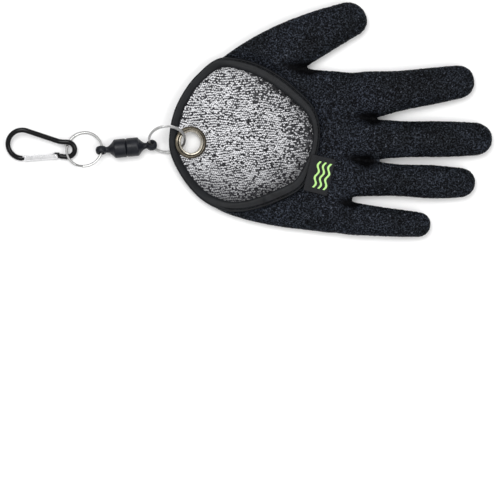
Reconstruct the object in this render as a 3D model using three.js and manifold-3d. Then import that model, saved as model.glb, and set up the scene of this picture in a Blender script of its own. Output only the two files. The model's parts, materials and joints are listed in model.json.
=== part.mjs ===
// A right-hand landing glove for fishing, lying palm down on a table.
// The hand is one latex-coated knitted shell, open at the back of the wrist. Its palm runs on as a
// tongue with a bound edge and an eyelet, and the eyelet carries a tether: a split ring, a magnetic
// release in two halves, a second split ring and a spring clip with a hinged gate.
// Millimetres. The table is z = 0, fingers point along +X and the thumb side is +Y.

import * as THREE from "three";
import { mergeVertices } from "three/addons/utils/BufferGeometryUtils.js";
import Module from "manifold-3d";

const wasm = await Module();
wasm.setup();

// Driving dimensions of the glove
const palmLength = 167; // wrist edge to the fork between middle and ring finger
const palmWidth = 136; // across the knuckles
const palmThickness = 15; // of the glove lying by itself
const coatWall = 1.6; // latex and the knit that it soaks
const linerWall = 1.0; // bare knit that shows inside the tongue
const gap = 0.3; // between pieces that touch

const thumbLength = 129.3; // fingers are measured from inside the palm
const thumbWidth = 38;
const indexLength = 117;
const indexWidth = 31;
const middleLength = 130.8;
const middleWidth = 30.5;
const ringFingerLength = 116.8;
const ringFingerWidth = 28;
const littleLength = 88.1;
const littleWidth = 24;
const fingerThickness = 15;
const fingerArch = 1.6; // the middle of a finger stands off the table by this

// Driving dimensions of the trim
const bindingWidth = 10;
const bindingThickness = 3.8;
const labelWidth = 20.5;
const labelLength = 31;
const labelThickness = 1;
const eyeletHole = 8.8; // radius
const eyeletRadius = 13.5;
const eyeletMetal = 0.7;

// Driving dimensions of the tether
const splitRingRadius = 14.8; // of the middle of the band
const splitRingBand = 1.8; // radial width of the flat wire
const splitRingWire = 1.0; // height of one turn
const splitRingPitch = 1.2; // from one turn to the next
const releaseRadius = 7.8;
const releaseBody = 10.6; // length of one half's barrel
const releaseNeck = 2.4; // radius
const releaseShoulder = 5; // length of the taper from the barrel to the neck
const releaseEye = 4.3; // radius of the ball that ends each half
const releaseEyeAt = 21.4; // from the parting face to the ball's middle
const releaseHole = 2.6; // radius
const releaseHoleFlare = 2.4; // the hole is wider by this at the ball's skin
const releaseHoleShift = 0.8; // from the ball's middle towards the neck
const releaseHeading = 5.75; // degrees
const clipLength = 59.7; // over the wire
const clipWire = 4.2;
const clipBigRadius = 12.2; // of the wire's middle line
const clipSmallRadius = 6.4;
const clipOffset = 4.5; // the big bend lies this far to the thumb side of the small one
const clipRoll = 17.5; // degrees, one side rests on the split ring
const gateWidth = 4;
const gateSlot = 2.4; // the slot takes the lug and the nose of the wire
const gateWall = 0.9; // on the inside of the clip
const gateRivet = 0.8; // radius
const gateClearance = 0.25; // of the rivet in the lug

// Palm sections from the wrist edge to the finger roots.
// at: share of palmLength. low, high: edges on the little-finger and thumb side, shares of palmWidth.
// mid, half: height of the middle plane and half the thickness, shares of palmThickness.
const palmRows = [
  { at: 0.01, low: -0.09, high: 0.09, mid: 0.88, half: 0.213 },
  { at: 0.022, low: -0.135, high: 0.14, mid: 0.86, half: 0.214 },
  { at: 0.042, low: -0.187, high: 0.205, mid: 0.84, half: 0.253 },
  { at: 0.075, low: -0.255, high: 0.292, mid: 0.787, half: 0.298 },
  { at: 0.122, low: -0.328, high: 0.365, mid: 0.707, half: 0.357 },
  { at: 0.186, low: -0.385, high: 0.44, mid: 0.613, half: 0.453 },
  { at: 0.266, low: -0.443, high: 0.495, mid: 0.547, half: 0.5 },
  { at: 0.38, low: -0.491, high: 0.53, mid: 0.5, half: 0.49 },
  { at: 0.529, low: -0.531, high: 0.5, mid: 0.5, half: 0.5 },
  { at: 0.702, low: -0.558, high: 0.43, mid: 0.5, half: 0.5 },
  { at: 0.84, low: -0.574, high: 0.412, mid: 0.5, half: 0.5 },
  { at: 0.911, low: -0.565, high: 0.395, mid: 0.48, half: 0.42 },
];

// Fingers. x, y: the root inside the palm, shares of palmLength and palmWidth. heading: degrees.
// bow: sideways bend as a share of length, to the thumb side. thick: share of fingerThickness.
// girth: width at each of girthAt, as shares of the finger's own width.
const girthAt = [0, 0.25, 0.45, 0.7, 0.88];
const fingerRows = [
  { name: "thumb", length: thumbLength, width: thumbWidth, x: 0.289, y: 0.334, heading: 27.3,
    bow: 0.0265, thick: 1.05, girth: [1.08, 1.15, 1.115, 0.962, 0.8] },
  { name: "index", length: indexLength, width: indexWidth, x: 0.826, y: 0.241, heading: 8.2,
    bow: -0.004, thick: 1, girth: [1.2, 1.29, 1.11, 0.99, 0.9] },
  { name: "middle", length: middleLength, width: middleWidth, x: 0.826, y: -0.003, heading: 0.2,
    bow: 0, thick: 1.02, girth: [1.25, 1.14, 1.02, 0.98, 0.91] },
  { name: "ring", length: ringFingerLength, width: ringFingerWidth, x: 0.826, y: -0.224, heading: -3,
    bow: -0.008, thick: 0.97, girth: [1.31, 1.09, 0.97, 1, 0.9] },
  { name: "little", length: littleLength, width: littleWidth, x: 0.777, y: -0.464, heading: -5.6,
    bow: -0.01, thick: 0.9, girth: [1.08, 1.14, 1.05, 0.955, 0.87] },
];
const fingerThick = [0.8, 1.02, 0.98, 0.95, 0.84]; // at girthAt, shares of the finger's thickness
const tipAngles = [25, 45, 63, 78]; // the round of a fingertip, degrees
const palmSides = 20;
const palmRound = 2.6; // exponent of the palm's section, 2 is an ellipse
const palmFlat = 1.12; // how early the section reaches its full height
const fingerSides = 14;
const fingerRound = 2.25;
const fingerFlat = 1.05;

// The bound edge round the mouth: its middle line, clockwise from the wrist as seen from above.
// x, y: shares of palmLength and palmWidth. width: share of bindingWidth.
// back: 0 on the tongue, 1 on the back of the hand, between them where it climbs.
const bindingRows = [
  { x: 0.023, y: 0, width: 0.74, back: 0 },
  { x: 0.039, y: 0.128, width: 0.74, back: 0 },
  { x: 0.067, y: 0.218, width: 0.74, back: 0 },
  { x: 0.117, y: 0.32, width: 0.74, back: 0 },
  { x: 0.168, y: 0.387, width: 0.76, back: 0.1 },
  { x: 0.225, y: 0.446, width: 0.8, back: 0.35 },
  { x: 0.268, y: 0.467, width: 0.84, back: 0.7 },
  { x: 0.315, y: 0.466, width: 0.88, back: 0.9 },
  { x: 0.419, y: 0.433, width: 0.98, back: 1 },
  { x: 0.536, y: 0.357, width: 1.02, back: 1 },
  { x: 0.64, y: 0.254, width: 0.98, back: 1 },
  { x: 0.707, y: 0.168, width: 0.82, back: 1 },
  { x: 0.734, y: 0.064, width: 0.64, back: 1 },
  { x: 0.73, y: -0.04, width: 0.6, back: 1 },
  { x: 0.714, y: -0.11, width: 0.64, back: 1 },
  { x: 0.684, y: -0.195, width: 0.74, back: 1 },
  { x: 0.645, y: -0.278, width: 0.9, back: 1 },
  { x: 0.525, y: -0.354, width: 0.98, back: 1 },
  { x: 0.402, y: -0.405, width: 0.92, back: 0.95 },
  { x: 0.31, y: -0.414, width: 0.86, back: 0.8 },
  { x: 0.23, y: -0.386, width: 0.84, back: 0.45 },
  { x: 0.163, y: -0.334, width: 0.8, back: 0.12 },
  { x: 0.1, y: -0.25, width: 0.75, back: 0 },
  { x: 0.053, y: -0.155, width: 0.74, back: 0 },
  { x: 0.028, y: -0.08, width: 0.74, back: 0 },
];
const bindingSteps = 62;
const tongueRoll = 28; // degrees, the tongue's bound edge turns up
const backRoll = -4;
const tongueRise = -0.9; // middle of the binding against the middle plane
const knucklesAt = 0.895; // where the fingers' node begins, share of palmLength
const thumbSideAt = 0.485; // between the index finger and the thumb, share of palmWidth
const tongueInset = 0.18 * bindingWidth; // the tongue ends within the binding
const cornerAt = 0.226; // where the side walls end and only the tongue goes on, share of palmLength
const linerReach = 0.86; // the bare knit ends here under the back, share of palmLength

// Where the eyelet and the label sit, shares of palmLength and palmWidth
const eyeletAt = { x: 0.108, y: -0.021 };
const labelAt = { x: 0.748, y: -0.221, heading: -14 };

// Solids and meshes

function solidOf(geometry) {
  const plain = geometry.clone();
  for (const name of Object.keys(plain.attributes)) {
    if (name !== "position") plain.deleteAttribute(name);
  }
  const merged = mergeVertices(plain, 1e-4);
  return new wasm.Manifold(
    new wasm.Mesh({
      numProp: 3,
      vertProperties: merged.attributes.position.array,
      triVerts: new Uint32Array(merged.index.array),
    }),
  );
}

function geometryOf(solid) {
  const mesh = solid.getMesh();
  const geometry = new THREE.BufferGeometry();
  geometry.setAttribute("position", new THREE.BufferAttribute(mesh.vertProperties, 3));
  geometry.setIndex(new THREE.BufferAttribute(mesh.triVerts, 1));
  geometry.computeVertexNormals();
  return geometry;
}

function placed(geometry, matrix) {
  return solidOf(geometry.clone().applyMatrix4(matrix));
}

function united(solids) {
  return solids.reduce((whole, next) => whole.add(next));
}

function largestOf(solid) {
  return solid.decompose().reduce((best, next) => (next.volume() > best.volume() ? next : best));
}

function meshOf(name, solid, material) {
  const mesh = new THREE.Mesh(geometryOf(solid), material);
  mesh.name = name;
  return mesh;
}

// A skin through rings of points that turn anticlockwise seen against the way of the loft.
function loft(rings, closedLoop = false) {
  const sides = rings[0].length;
  const points = rings.flat();
  const faces = [];
  const spans = closedLoop ? rings.length : rings.length - 1;
  for (let r = 0; r < spans; r++) {
    const here = r * sides;
    const there = ((r + 1) % rings.length) * sides;
    for (let s = 0; s < sides; s++) {
      const next = (s + 1) % sides;
      faces.push(here + s, here + next, there + next, here + s, there + next, there + s);
    }
  }
  if (!closedLoop) {
    for (const [ring, start, flip] of [
      [rings[0], 0, true],
      [rings.at(-1), (rings.length - 1) * sides, false],
    ]) {
      const centre = new THREE.Vector3();
      ring.forEach((p) => centre.add(p));
      points.push(centre.divideScalar(sides));
      for (let s = 0; s < sides; s++) {
        const next = (s + 1) % sides;
        if (flip) faces.push(points.length - 1, start + next, start + s);
        else faces.push(points.length - 1, start + s, start + next);
      }
    }
  }
  const geometry = new THREE.BufferGeometry().setFromPoints(points);
  geometry.setIndex(faces);
  return solidOf(geometry);
}

const radians = THREE.MathUtils.degToRad;
const up = new THREE.Vector3(0, 0, 1);

// One section of the hand: half is half its width, rise half its thickness.
function handRing(centre, side, half, rise, sides, round, flat) {
  const ring = [];
  for (let k = 0; k < sides; k++) {
    const angle = (2 * Math.PI * k) / sides;
    const across = Math.sign(Math.cos(angle)) * Math.abs(Math.cos(angle)) ** (2 / round);
    const lift = Math.min(1, flat * Math.abs(Math.sin(angle)) ** (2 / round));
    ring.push(
      centre
        .clone()
        .addScaledVector(side, half * across)
        .addScaledVector(up, rise * lift * Math.sign(Math.sin(angle))),
    );
  }
  return ring;
}

// The hand form, drawn in by inset on all sides

function palmForm(inset) {
  const last = palmRows.length - 1;
  return loft(
    palmRows.map((row, k) => {
      const x = row.at * palmLength + (k === 0 ? inset : 0) - (k === last ? inset : 0);
      const y = ((row.low + row.high) / 2) * palmWidth;
      const half = ((row.high - row.low) / 2) * palmWidth - inset;
      const centre = new THREE.Vector3(x, y, row.mid * palmThickness);
      const rise = row.half * palmThickness - inset;
      return handRing(centre, new THREE.Vector3(0, 1, 0), half, rise, palmSides, palmRound, palmFlat);
    }),
  );
}

function fingerForm(row, inset) {
  const along = new THREE.Vector3(Math.cos(radians(row.heading)), Math.sin(radians(row.heading)), 0);
  const side = new THREE.Vector3(-along.y, along.x, 0);
  const root = new THREE.Vector3(row.x * palmLength, row.y * palmWidth, 0);
  const reach = row.length - inset;
  const lastGirth = girthAt.at(-1);
  const station = (share, width, thick) => {
    const bend = 4 * share * (1 - share);
    const thickness = thick * row.thick * fingerThickness;
    const centre = root
      .clone()
      .addScaledVector(along, share * reach)
      .addScaledVector(side, bend * row.bow * row.length)
      .addScaledVector(up, palmThickness / 2 + bend * fingerArch);
    const half = (width * row.width) / 2 - inset;
    return handRing(centre, side, half, thickness / 2 - inset, fingerSides, fingerRound, fingerFlat);
  };
  const rings = girthAt.map((share, k) => station(share, row.girth[k], fingerThick[k]));
  for (const angle of tipAngles) {
    const share = lastGirth + (1 - lastGirth) * Math.sin(radians(angle));
    const shrink = Math.cos(radians(angle));
    const width = row.girth.at(-1) * shrink ** 0.9 + ((1 - shrink) * 2 * inset) / row.width;
    const thick =
      fingerThick.at(-1) * shrink ** 0.8 + ((1 - shrink) * 2 * inset) / (row.thick * fingerThickness);
    rings.push(station(share, width, thick));
  }
  return loft(rings);
}

function handForm(inset) {
  return united([palmForm(inset), ...fingerRows.map((row) => fingerForm(row, inset))]);
}

// Edges and heights of the palm form at x, read between the rows of the table
function palmAt(x) {
  const at = x / palmLength;
  const k = Math.min(Math.max(palmRows.findIndex((row) => row.at > at), 1), palmRows.length - 1);
  const [a, b] = [palmRows[k - 1], palmRows[k]];
  const t = THREE.MathUtils.clamp((at - a.at) / (b.at - a.at), 0, 1);
  const mix = (key) => THREE.MathUtils.lerp(a[key], b[key], t);
  return {
    low: mix("low") * palmWidth,
    high: mix("high") * palmWidth,
    mid: mix("mid") * palmThickness,
    half: mix("half") * palmThickness,
  };
}

// Height of the palm form's skin over its middle plane at x, y
function palmSwell(x, y) {
  const { low, high, half } = palmAt(x);
  const v = Math.min(1, Math.abs((2 * y - low - high) / (high - low)));
  return half * Math.min(1, palmFlat * (1 - v ** palmRound) ** (1 / palmRound));
}

// Edge binding

const bindingLine = new THREE.CatmullRomCurve3(
  bindingRows.map((row) => new THREE.Vector3(row.x * palmLength, row.y * palmWidth, 0)),
  true,
);
const bindingGirth = new THREE.CatmullRomCurve3(
  bindingRows.map((row) => new THREE.Vector3(row.width, row.back, 0)),
  true,
);

function bindingForm(margin) {
  const rings = [];
  const raised = (t) => {
    const point = bindingLine.getPoint(t);
    const back = THREE.MathUtils.clamp(bindingGirth.getPoint(t).y, 0, 1);
    const { mid } = palmAt(point.x);
    const onTongue = mid + tongueRise;
    const onBack = mid + palmSwell(point.x, point.y) - coatWall / 2;
    point.z = THREE.MathUtils.lerp(onTongue, onBack, back);
    return point;
  };
  for (let k = 0; k < bindingSteps; k++) {
    const t = k / bindingSteps;
    const point = raised(t);
    const girth = bindingGirth.getPoint(t);
    const along = raised((t + 0.004) % 1).sub(raised((t + 0.996) % 1)).normalize();
    const outward = new THREE.Vector3(-along.y, along.x, 0).normalize();
    const roll = radians(THREE.MathUtils.lerp(tongueRoll, backRoll, girth.y));
    outward.applyAxisAngle(along, roll);
    const normal = new THREE.Vector3().crossVectors(along, outward);
    const half = (girth.x * bindingWidth) / 2 + margin;
    const thick = bindingThickness / 2 + margin;
    const corner = thick * 0.62;
    rings.push(
      [
        [half, -thick + corner],
        [half, thick - corner],
        [half - corner, thick],
        [-half + corner, thick],
        [-half, thick - corner],
        [-half, -thick + corner],
        [-half + corner, -thick],
        [half - corner, -thick],
      ].map(([a, b]) => point.clone().addScaledVector(outward, a).addScaledVector(normal, b)),
    );
  }
  return loft(rings, true);
}

// Cutting tools of the mouth

const farOut = 2 * palmWidth;

// The space within the bound edge's middle line, drawn in by inset
function loopPrism(inset) {
  const points = bindingLine.getPoints(bindingSteps).slice(0, -1);
  const shape = new THREE.Shape(
    points.map((p, k) => {
      const before = points[(k + points.length - 1) % points.length];
      const after = points[(k + 1) % points.length];
      const inwards = new THREE.Vector2(after.y - before.y, before.x - after.x).normalize();
      return new THREE.Vector2(p.x, p.y).addScaledVector(inwards, inset);
    }),
  );
  const geometry = new THREE.ExtrudeGeometry(shape, { depth: 4 * palmThickness, bevelEnabled: false });
  geometry.translate(0, 0, -palmThickness);
  return solidOf(geometry);
}

// Everything above (way 1) or below (way -1) the palm's middle plane, shifted by lift
function halfSpace(way, lift) {
  const xs = [-farOut, ...palmRows.map((row) => row.at * palmLength), farOut];
  return loft(
    xs.map((x) => {
      const { mid } = palmAt(x);
      const low = way > 0 ? mid + lift : -farOut;
      const high = way > 0 ? farOut : mid + lift;
      return [
        [-farOut, low],
        [farOut, low],
        [farOut, high],
        [-farOut, high],
      ].map(([y, z]) => new THREE.Vector3(x, y, z));
    }),
  );
}

function boxBetween(low, high) {
  const size = new THREE.Vector3().subVectors(high, low);
  const geometry = new THREE.BoxGeometry(size.x, size.y, size.z);
  geometry.translate((low.x + high.x) / 2, (low.y + high.y) / 2, (low.z + high.z) / 2);
  return solidOf(geometry);
}

// Eyelet, in its own frame: +Z is its axis, and z = 0 the middle of the layers that it clamps

const layers = coatWall + gap + linerWall;
const eyeletX = eyeletAt.x * palmLength;
const eyeletY = eyeletAt.y * palmWidth;
const tongueFloor = (x) => palmAt(x).mid - palmAt(x).half;
const eyeletPitch = Math.atan2(
  tongueFloor(eyeletX - eyeletHole) - tongueFloor(eyeletX + eyeletHole),
  2 * eyeletHole,
);
const eyeletCentre = new THREE.Vector3(eyeletX, eyeletY, tongueFloor(eyeletX) + layers / 2);
const eyeletFrame = new THREE.Matrix4().makeRotationY(eyeletPitch).setPosition(eyeletCentre);
const eyeletBarrel = eyeletHole + eyeletMetal;
const eyeletSides = 28;

// A profile of [radius, height] pairs turned round the Z axis
function turned(profile, segments) {
  const points = profile.map(([r, z]) => new THREE.Vector2(r, z));
  const closed = profile[0][0] > 0 ? [...points, points[0].clone()] : points;
  return new THREE.LatheGeometry(closed, segments).rotateX(Math.PI / 2);
}

// The flange lies under the palm and its barrel comes up through the layers and rolls out.
function eyeletFlange() {
  const seat = layers / 2 + gap;
  const lip = seat + eyeletMetal + gap;
  return placed(
    turned(
      [
        [eyeletHole, -seat],
        [eyeletHole + 0.5, -seat - 1.3],
        [(eyeletHole + eyeletRadius) / 2, -seat - 1.5],
        [eyeletRadius - 0.8, -seat - 0.8],
        [eyeletRadius, -seat],
        [eyeletBarrel, -seat],
        [eyeletBarrel, lip],
        [eyeletBarrel + 1.2, lip],
        [eyeletBarrel + 1, lip + 0.8],
        [eyeletHole + 0.3, lip + 1],
        [eyeletHole, lip + 0.3],
      ],
      eyeletSides,
    ),
    eyeletFrame,
  );
}

function eyeletWasher() {
  const seat = layers / 2 + gap;
  return placed(
    turned(
      [
        [eyeletBarrel + gap, seat],
        [eyeletRadius, seat],
        [eyeletRadius - 0.3, seat + 0.5],
        [eyeletRadius - 1.8, seat + 1.3],
        [eyeletBarrel + 1.8, seat + 1.2],
        [eyeletBarrel + 1.5, seat + eyeletMetal - 0.1],
        [eyeletBarrel + gap, seat + eyeletMetal - 0.1],
      ],
      eyeletSides,
    ),
    eyeletFrame,
  );
}

// Room for the eyelet: a bore through the layers, and its flanges where the binding passes
function eyeletBore() {
  const reach = palmThickness;
  const bore = eyeletBarrel + gap;
  return placed(turned([[0, -reach], [bore, -reach], [bore, reach], [0, reach]], eyeletSides), eyeletFrame);
}

function eyeletRoom() {
  const reach = palmThickness;
  const room = eyeletRadius + gap;
  return placed(turned([[0, -reach], [room, -reach], [room, reach], [0, reach]], eyeletSides), eyeletFrame);
}

// Label: a folded tab on the back of the hand, sewn in at the binding

function labelSolid() {
  const top = palmThickness + gap;
  const step = bindingThickness / 2 - coatWall / 2 + gap;
  const profile = new THREE.Shape();
  profile.moveTo(-labelWidth / 2, top + step);
  profile.lineTo(-labelWidth / 2 + 4.5, top + step);
  profile.lineTo(-labelWidth / 2 + 9, top);
  profile.lineTo(labelWidth / 2, top);
  profile.lineTo(labelWidth / 2, top + labelThickness);
  profile.lineTo(-labelWidth / 2 + 9.3, top + labelThickness);
  profile.lineTo(-labelWidth / 2 + 4.8, top + step + labelThickness);
  profile.lineTo(-labelWidth / 2, top + step + labelThickness);
  profile.closePath();
  const geometry = new THREE.ExtrudeGeometry(profile, { depth: labelLength, bevelEnabled: false });
  geometry.translate(0, 0, -labelLength / 2);
  geometry.rotateX(Math.PI / 2);
  geometry.rotateZ(radians(labelAt.heading));
  geometry.translate(labelAt.x * palmLength, labelAt.y * palmWidth, 0);
  return solidOf(geometry);
}

// Split rings: two turns of flat wire round their own Z axis

const ringTurns = 1.92;
const ringStepFrom = 0.93; // turns
const ringStepTo = 0.99; // turns
const ringSegments = 30;
const ringHalfHeight = (splitRingPitch + splitRingWire) / 2;

function splitRing() {
  const steps = Math.round(ringTurns * ringSegments);
  const rings = [];
  for (let k = 0; k <= steps; k++) {
    const turn = (ringTurns * k) / steps;
    const angle = 2 * Math.PI * turn;
    const radial = new THREE.Vector3(Math.cos(angle), Math.sin(angle), 0);
    // each turn lies flat, and the wire steps up between its own free ends
    const step = THREE.MathUtils.clamp((turn - ringStepFrom) / (ringStepTo - ringStepFrom), 0, 1);
    const height = splitRingPitch * (step - 0.5);
    rings.push(
      [
        [splitRingBand / 2, -splitRingWire / 2],
        [splitRingBand / 2, splitRingWire / 2],
        [-splitRingBand / 2, splitRingWire / 2],
        [-splitRingBand / 2, -splitRingWire / 2],
      ].map(([a, b]) => radial.clone().multiplyScalar(splitRingRadius + a).setZ(height + b)),
    );
  }
  return loft(rings.map((ring) => ring.reverse()));
}

// A ring's frame: its plane rises by slopeX and slopeY, and it touches the table
function ringFrame(x, y, slopeX, slopeY, spin) {
  const normal = new THREE.Vector3(-slopeX, -slopeY, 1).normalize();
  const outer = splitRingRadius + splitRingBand / 2;
  const z = outer * Math.hypot(normal.x, normal.y) + ringHalfHeight * normal.z;
  const turn = new THREE.Quaternion().setFromUnitVectors(up, normal);
  turn.multiply(new THREE.Quaternion().setFromAxisAngle(up, radians(spin)));
  return new THREE.Matrix4().compose(new THREE.Vector3(x, y, z), turn, new THREE.Vector3(1, 1, 1));
}

// The point of a ring's middle line, seen from above in the direction of angle
function ringPoint(slopeX, slopeY, angle) {
  const normal = new THREE.Vector3(-slopeX, -slopeY, 1).normalize();
  const u = new THREE.Vector3(1, 0, slopeX).normalize();
  const v = new THREE.Vector3().crossVectors(normal, u);
  return u
    .multiplyScalar(splitRingRadius * Math.cos(radians(angle)))
    .addScaledVector(v, splitRingRadius * Math.sin(radians(angle)));
}

// Places of the tether, each from the piece before it

const gloveRingSlopeX = -0.05;
const gloveRingSlopeY = 1.03;
const gloveRingSeat = 4.25; // the wire's middle line to the eyelet's wall
const gloveRingSide = 2.5; // the ring's middle lies this far to the thumb side of the eyelet's
const clipRingSlopeX = 0.1;
const clipRingSlopeY = -0.32;

const gloveRingX =
  eyeletX - (eyeletHole - gloveRingSeat) * Math.cos(eyeletPitch) - ringPoint(gloveRingSlopeX, gloveRingSlopeY, 0).x;
const gloveRingFrame = ringFrame(
  gloveRingX,
  eyeletY + gloveRingSide,
  gloveRingSlopeX,
  gloveRingSlopeY,
  100,
);
const gloveRingCentre = new THREE.Vector3().setFromMatrixPosition(gloveRingFrame);

// The release lies on its barrel, so its eye takes the ring where the ring passes that height.
function angleAtHeight(centre, slopeX, slopeY, height) {
  const flat = ringPoint(slopeX, slopeY, 0).z;
  const steep = ringPoint(slopeX, slopeY, 90).z;
  const phase = Math.atan2(steep, flat);
  const reach = Math.hypot(flat, steep);
  return THREE.MathUtils.radToDeg(phase + Math.acos((height - centre.z) / reach));
}

const gloveEyeAngle = angleAtHeight(gloveRingCentre, gloveRingSlopeX, gloveRingSlopeY, releaseRadius);
const gloveEye = gloveRingCentre.clone().add(ringPoint(gloveRingSlopeX, gloveRingSlopeY, gloveEyeAngle));
const releaseAlong = new THREE.Vector3(
  Math.cos(radians(releaseHeading)),
  -Math.sin(radians(-releaseHeading)),
  0,
);
const holeSpan = 2 * (releaseEyeAt - releaseHoleShift);
const clipEye = gloveEye.clone().addScaledVector(releaseAlong, -holeSpan);
const releaseMiddle = gloveEye.clone().add(clipEye).divideScalar(2).setZ(releaseRadius);

const clipEyeAngle = -3; // where the second ring passes the release's eye
const clipRingArm = ringPoint(clipRingSlopeX, clipRingSlopeY, clipEyeAngle);
const clipRingFrame = ringFrame(
  clipEye.x - clipRingArm.x,
  clipEye.y - clipRingArm.y,
  clipRingSlopeX,
  clipRingSlopeY,
  -95,
);
const clipRingCentre = new THREE.Vector3().setFromMatrixPosition(clipRingFrame);

// Magnetic release: half a turned body with an eye, +Z away from the parting face. The eye's hole
// runs along X and widens to both sides, so that a ring can lie in it at a slant.

function releaseHalf() {
  const neckAt = releaseEyeAt - Math.sqrt(releaseEye ** 2 - releaseNeck ** 2);
  const shoulderAt = releaseBody + releaseShoulder;
  const profile = [
    [0, gap / 2],
    [releaseRadius - 0.5, gap / 2],
    [releaseRadius, gap / 2 + 0.5],
    [releaseRadius, releaseBody - 1.4],
    [releaseRadius - 0.5, releaseBody - 0.4],
    [releaseRadius - 1.5, releaseBody + 0.4],
    [releaseNeck + 2.2, releaseBody + releaseShoulder * 0.4],
    [releaseNeck + 0.7, releaseBody + releaseShoulder * 0.7],
    [releaseNeck, shoulderAt],
    [releaseNeck, neckAt],
  ];
  for (const angle of [50, 75, 100, 125, 150]) {
    profile.push([
      releaseEye * Math.sin(radians(angle)),
      releaseEyeAt - releaseEye * Math.cos(radians(angle)),
    ]);
  }
  profile.push([0, releaseEyeAt + releaseEye]);
  const flare = [-1, -0.6, -0.2, 0.2, 0.6, 1].map((share) => [
    releaseHole + releaseHoleFlare * share ** 2,
    releaseEye * share,
  ]);
  const hole = turned([[0, -releaseEye], ...flare, [0, releaseEye]], 14);
  hole.rotateY(Math.PI / 2);
  hole.translate(0, 0, releaseEyeAt - releaseHoleShift);
  return solidOf(turned(profile, 16)).subtract(solidOf(hole));
}

// The way that a half points, turned so that its hole takes a ring that runs along tangent
function releaseTurn(way, tangent) {
  const along = releaseAlong.clone().multiplyScalar(way);
  const hole = tangent.clone().addScaledVector(along, -tangent.dot(along)).normalize();
  const side = new THREE.Vector3().crossVectors(along, hole);
  return new THREE.Quaternion().setFromRotationMatrix(new THREE.Matrix4().makeBasis(hole, side, along));
}

// Spring clip, in its own plane: the small bend's middle is the origin, the big bend lies along -X

const clipBigX = -(clipLength - clipWire - clipBigRadius - clipSmallRadius);
const gatePivot = new THREE.Vector3(-1.5 * clipSmallRadius, -0.875 * clipSmallRadius, 0);
const noseEnd = new THREE.Vector3(clipBigX + 0.4, clipOffset - clipBigRadius, 0);
const gateHeading = Math.atan2(noseEnd.y - gatePivot.y, noseEnd.x - gatePivot.x);
const gateTail = gateWidth / 2; // the gate's round end beyond its pivot

function arcPoints(x, y, radius, from, to, count) {
  const points = [];
  for (let k = 0; k < count; k++) {
    const angle = radians(THREE.MathUtils.lerp(from, to, k / (count - 1)));
    points.push(new THREE.Vector3(x + radius * Math.cos(angle), y + radius * Math.sin(angle), 0));
  }
  return points;
}

function clipBody() {
  const wireEnd = new THREE.Vector3(gatePivot.x + gateTail + 2.4, gatePivot.y - 0.3, 0);
  const line = new THREE.CatmullRomCurve3([
    noseEnd,
    ...arcPoints(clipBigX, clipOffset, clipBigRadius, 268, 70, 12),
    new THREE.Vector3(clipBigX * 0.45, clipOffset * 0.55 + clipSmallRadius * 1.13, 0),
    new THREE.Vector3(clipBigX * 0.2, clipSmallRadius * 1.06, 0),
    ...arcPoints(0, 0, clipSmallRadius, 96, -96, 9),
    wireEnd,
  ]);
  const circle = new THREE.Shape().absarc(0, 0, clipWire / 2, 0, 2 * Math.PI);
  const wire = solidOf(
    new THREE.ExtrudeGeometry(circle, { extrudePath: line, steps: 42, curveSegments: 6, bevelEnabled: false }),
  );
  const flat = gateSlot / 2 - gap;
  const lugHalf = 1.5;
  const lug = boxBetween(
    new THREE.Vector3(gatePivot.x, gatePivot.y - lugHalf, -flat),
    new THREE.Vector3(wireEnd.x + 1.5, gatePivot.y + lugHalf, flat),
  );
  const lugEnd = new THREE.CylinderGeometry(lugHalf, lugHalf, 2 * flat, 12).rotateX(Math.PI / 2);
  const bore = new THREE.CylinderGeometry(gateRivet + gateClearance, gateRivet + gateClearance, clipWire, 14);
  const nose = new THREE.BoxGeometry(4.5, 1.8, 2 * flat);
  nose.translate(noseEnd.x + 0.75, noseEnd.y - 0.35, 0);
  const atPivot = new THREE.Matrix4().setPosition(gatePivot);
  return united([wire, lug, placed(lugEnd, atPivot), solidOf(nose)]).subtract(
    placed(bore.rotateX(Math.PI / 2), atPivot),
  );
}

// The gate, with its pivot at the origin and its free end along +X: a channel open on the outside
function gateSolid() {
  const half = gateWidth / 2;
  const reach = gatePivot.distanceTo(noseEnd) - 2 * gap;
  const outline = new THREE.Shape();
  outline.absarc(0, 0, gateTail, Math.PI / 2, (3 * Math.PI) / 2);
  outline.lineTo(reach, -half);
  outline.lineTo(reach, half);
  const bar = new THREE.ExtrudeGeometry(outline, {
    depth: clipWire - 1,
    bevelThickness: 0.5,
    bevelSize: 0.5,
    bevelOffset: -0.5,
    bevelSegments: 1,
    curveSegments: 6,
  });
  bar.translate(0, 0, -(clipWire - 1) / 2);
  const slot = gateSlot / 2;
  const channel = boxBetween(
    new THREE.Vector3(-clipWire, gateWall - half, -slot),
    new THREE.Vector3(2 * reach, clipWire, slot),
  );
  const fork = boxBetween(
    new THREE.Vector3(-clipWire, -clipWire, -slot),
    new THREE.Vector3(2.6, clipWire, slot),
  );
  const rivet = new THREE.CylinderGeometry(gateRivet, gateRivet, clipWire - 0.2, 14).rotateX(Math.PI / 2);
  return solidOf(bar).subtract(channel).subtract(fork).add(solidOf(rivet));
}

// Materials

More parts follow.
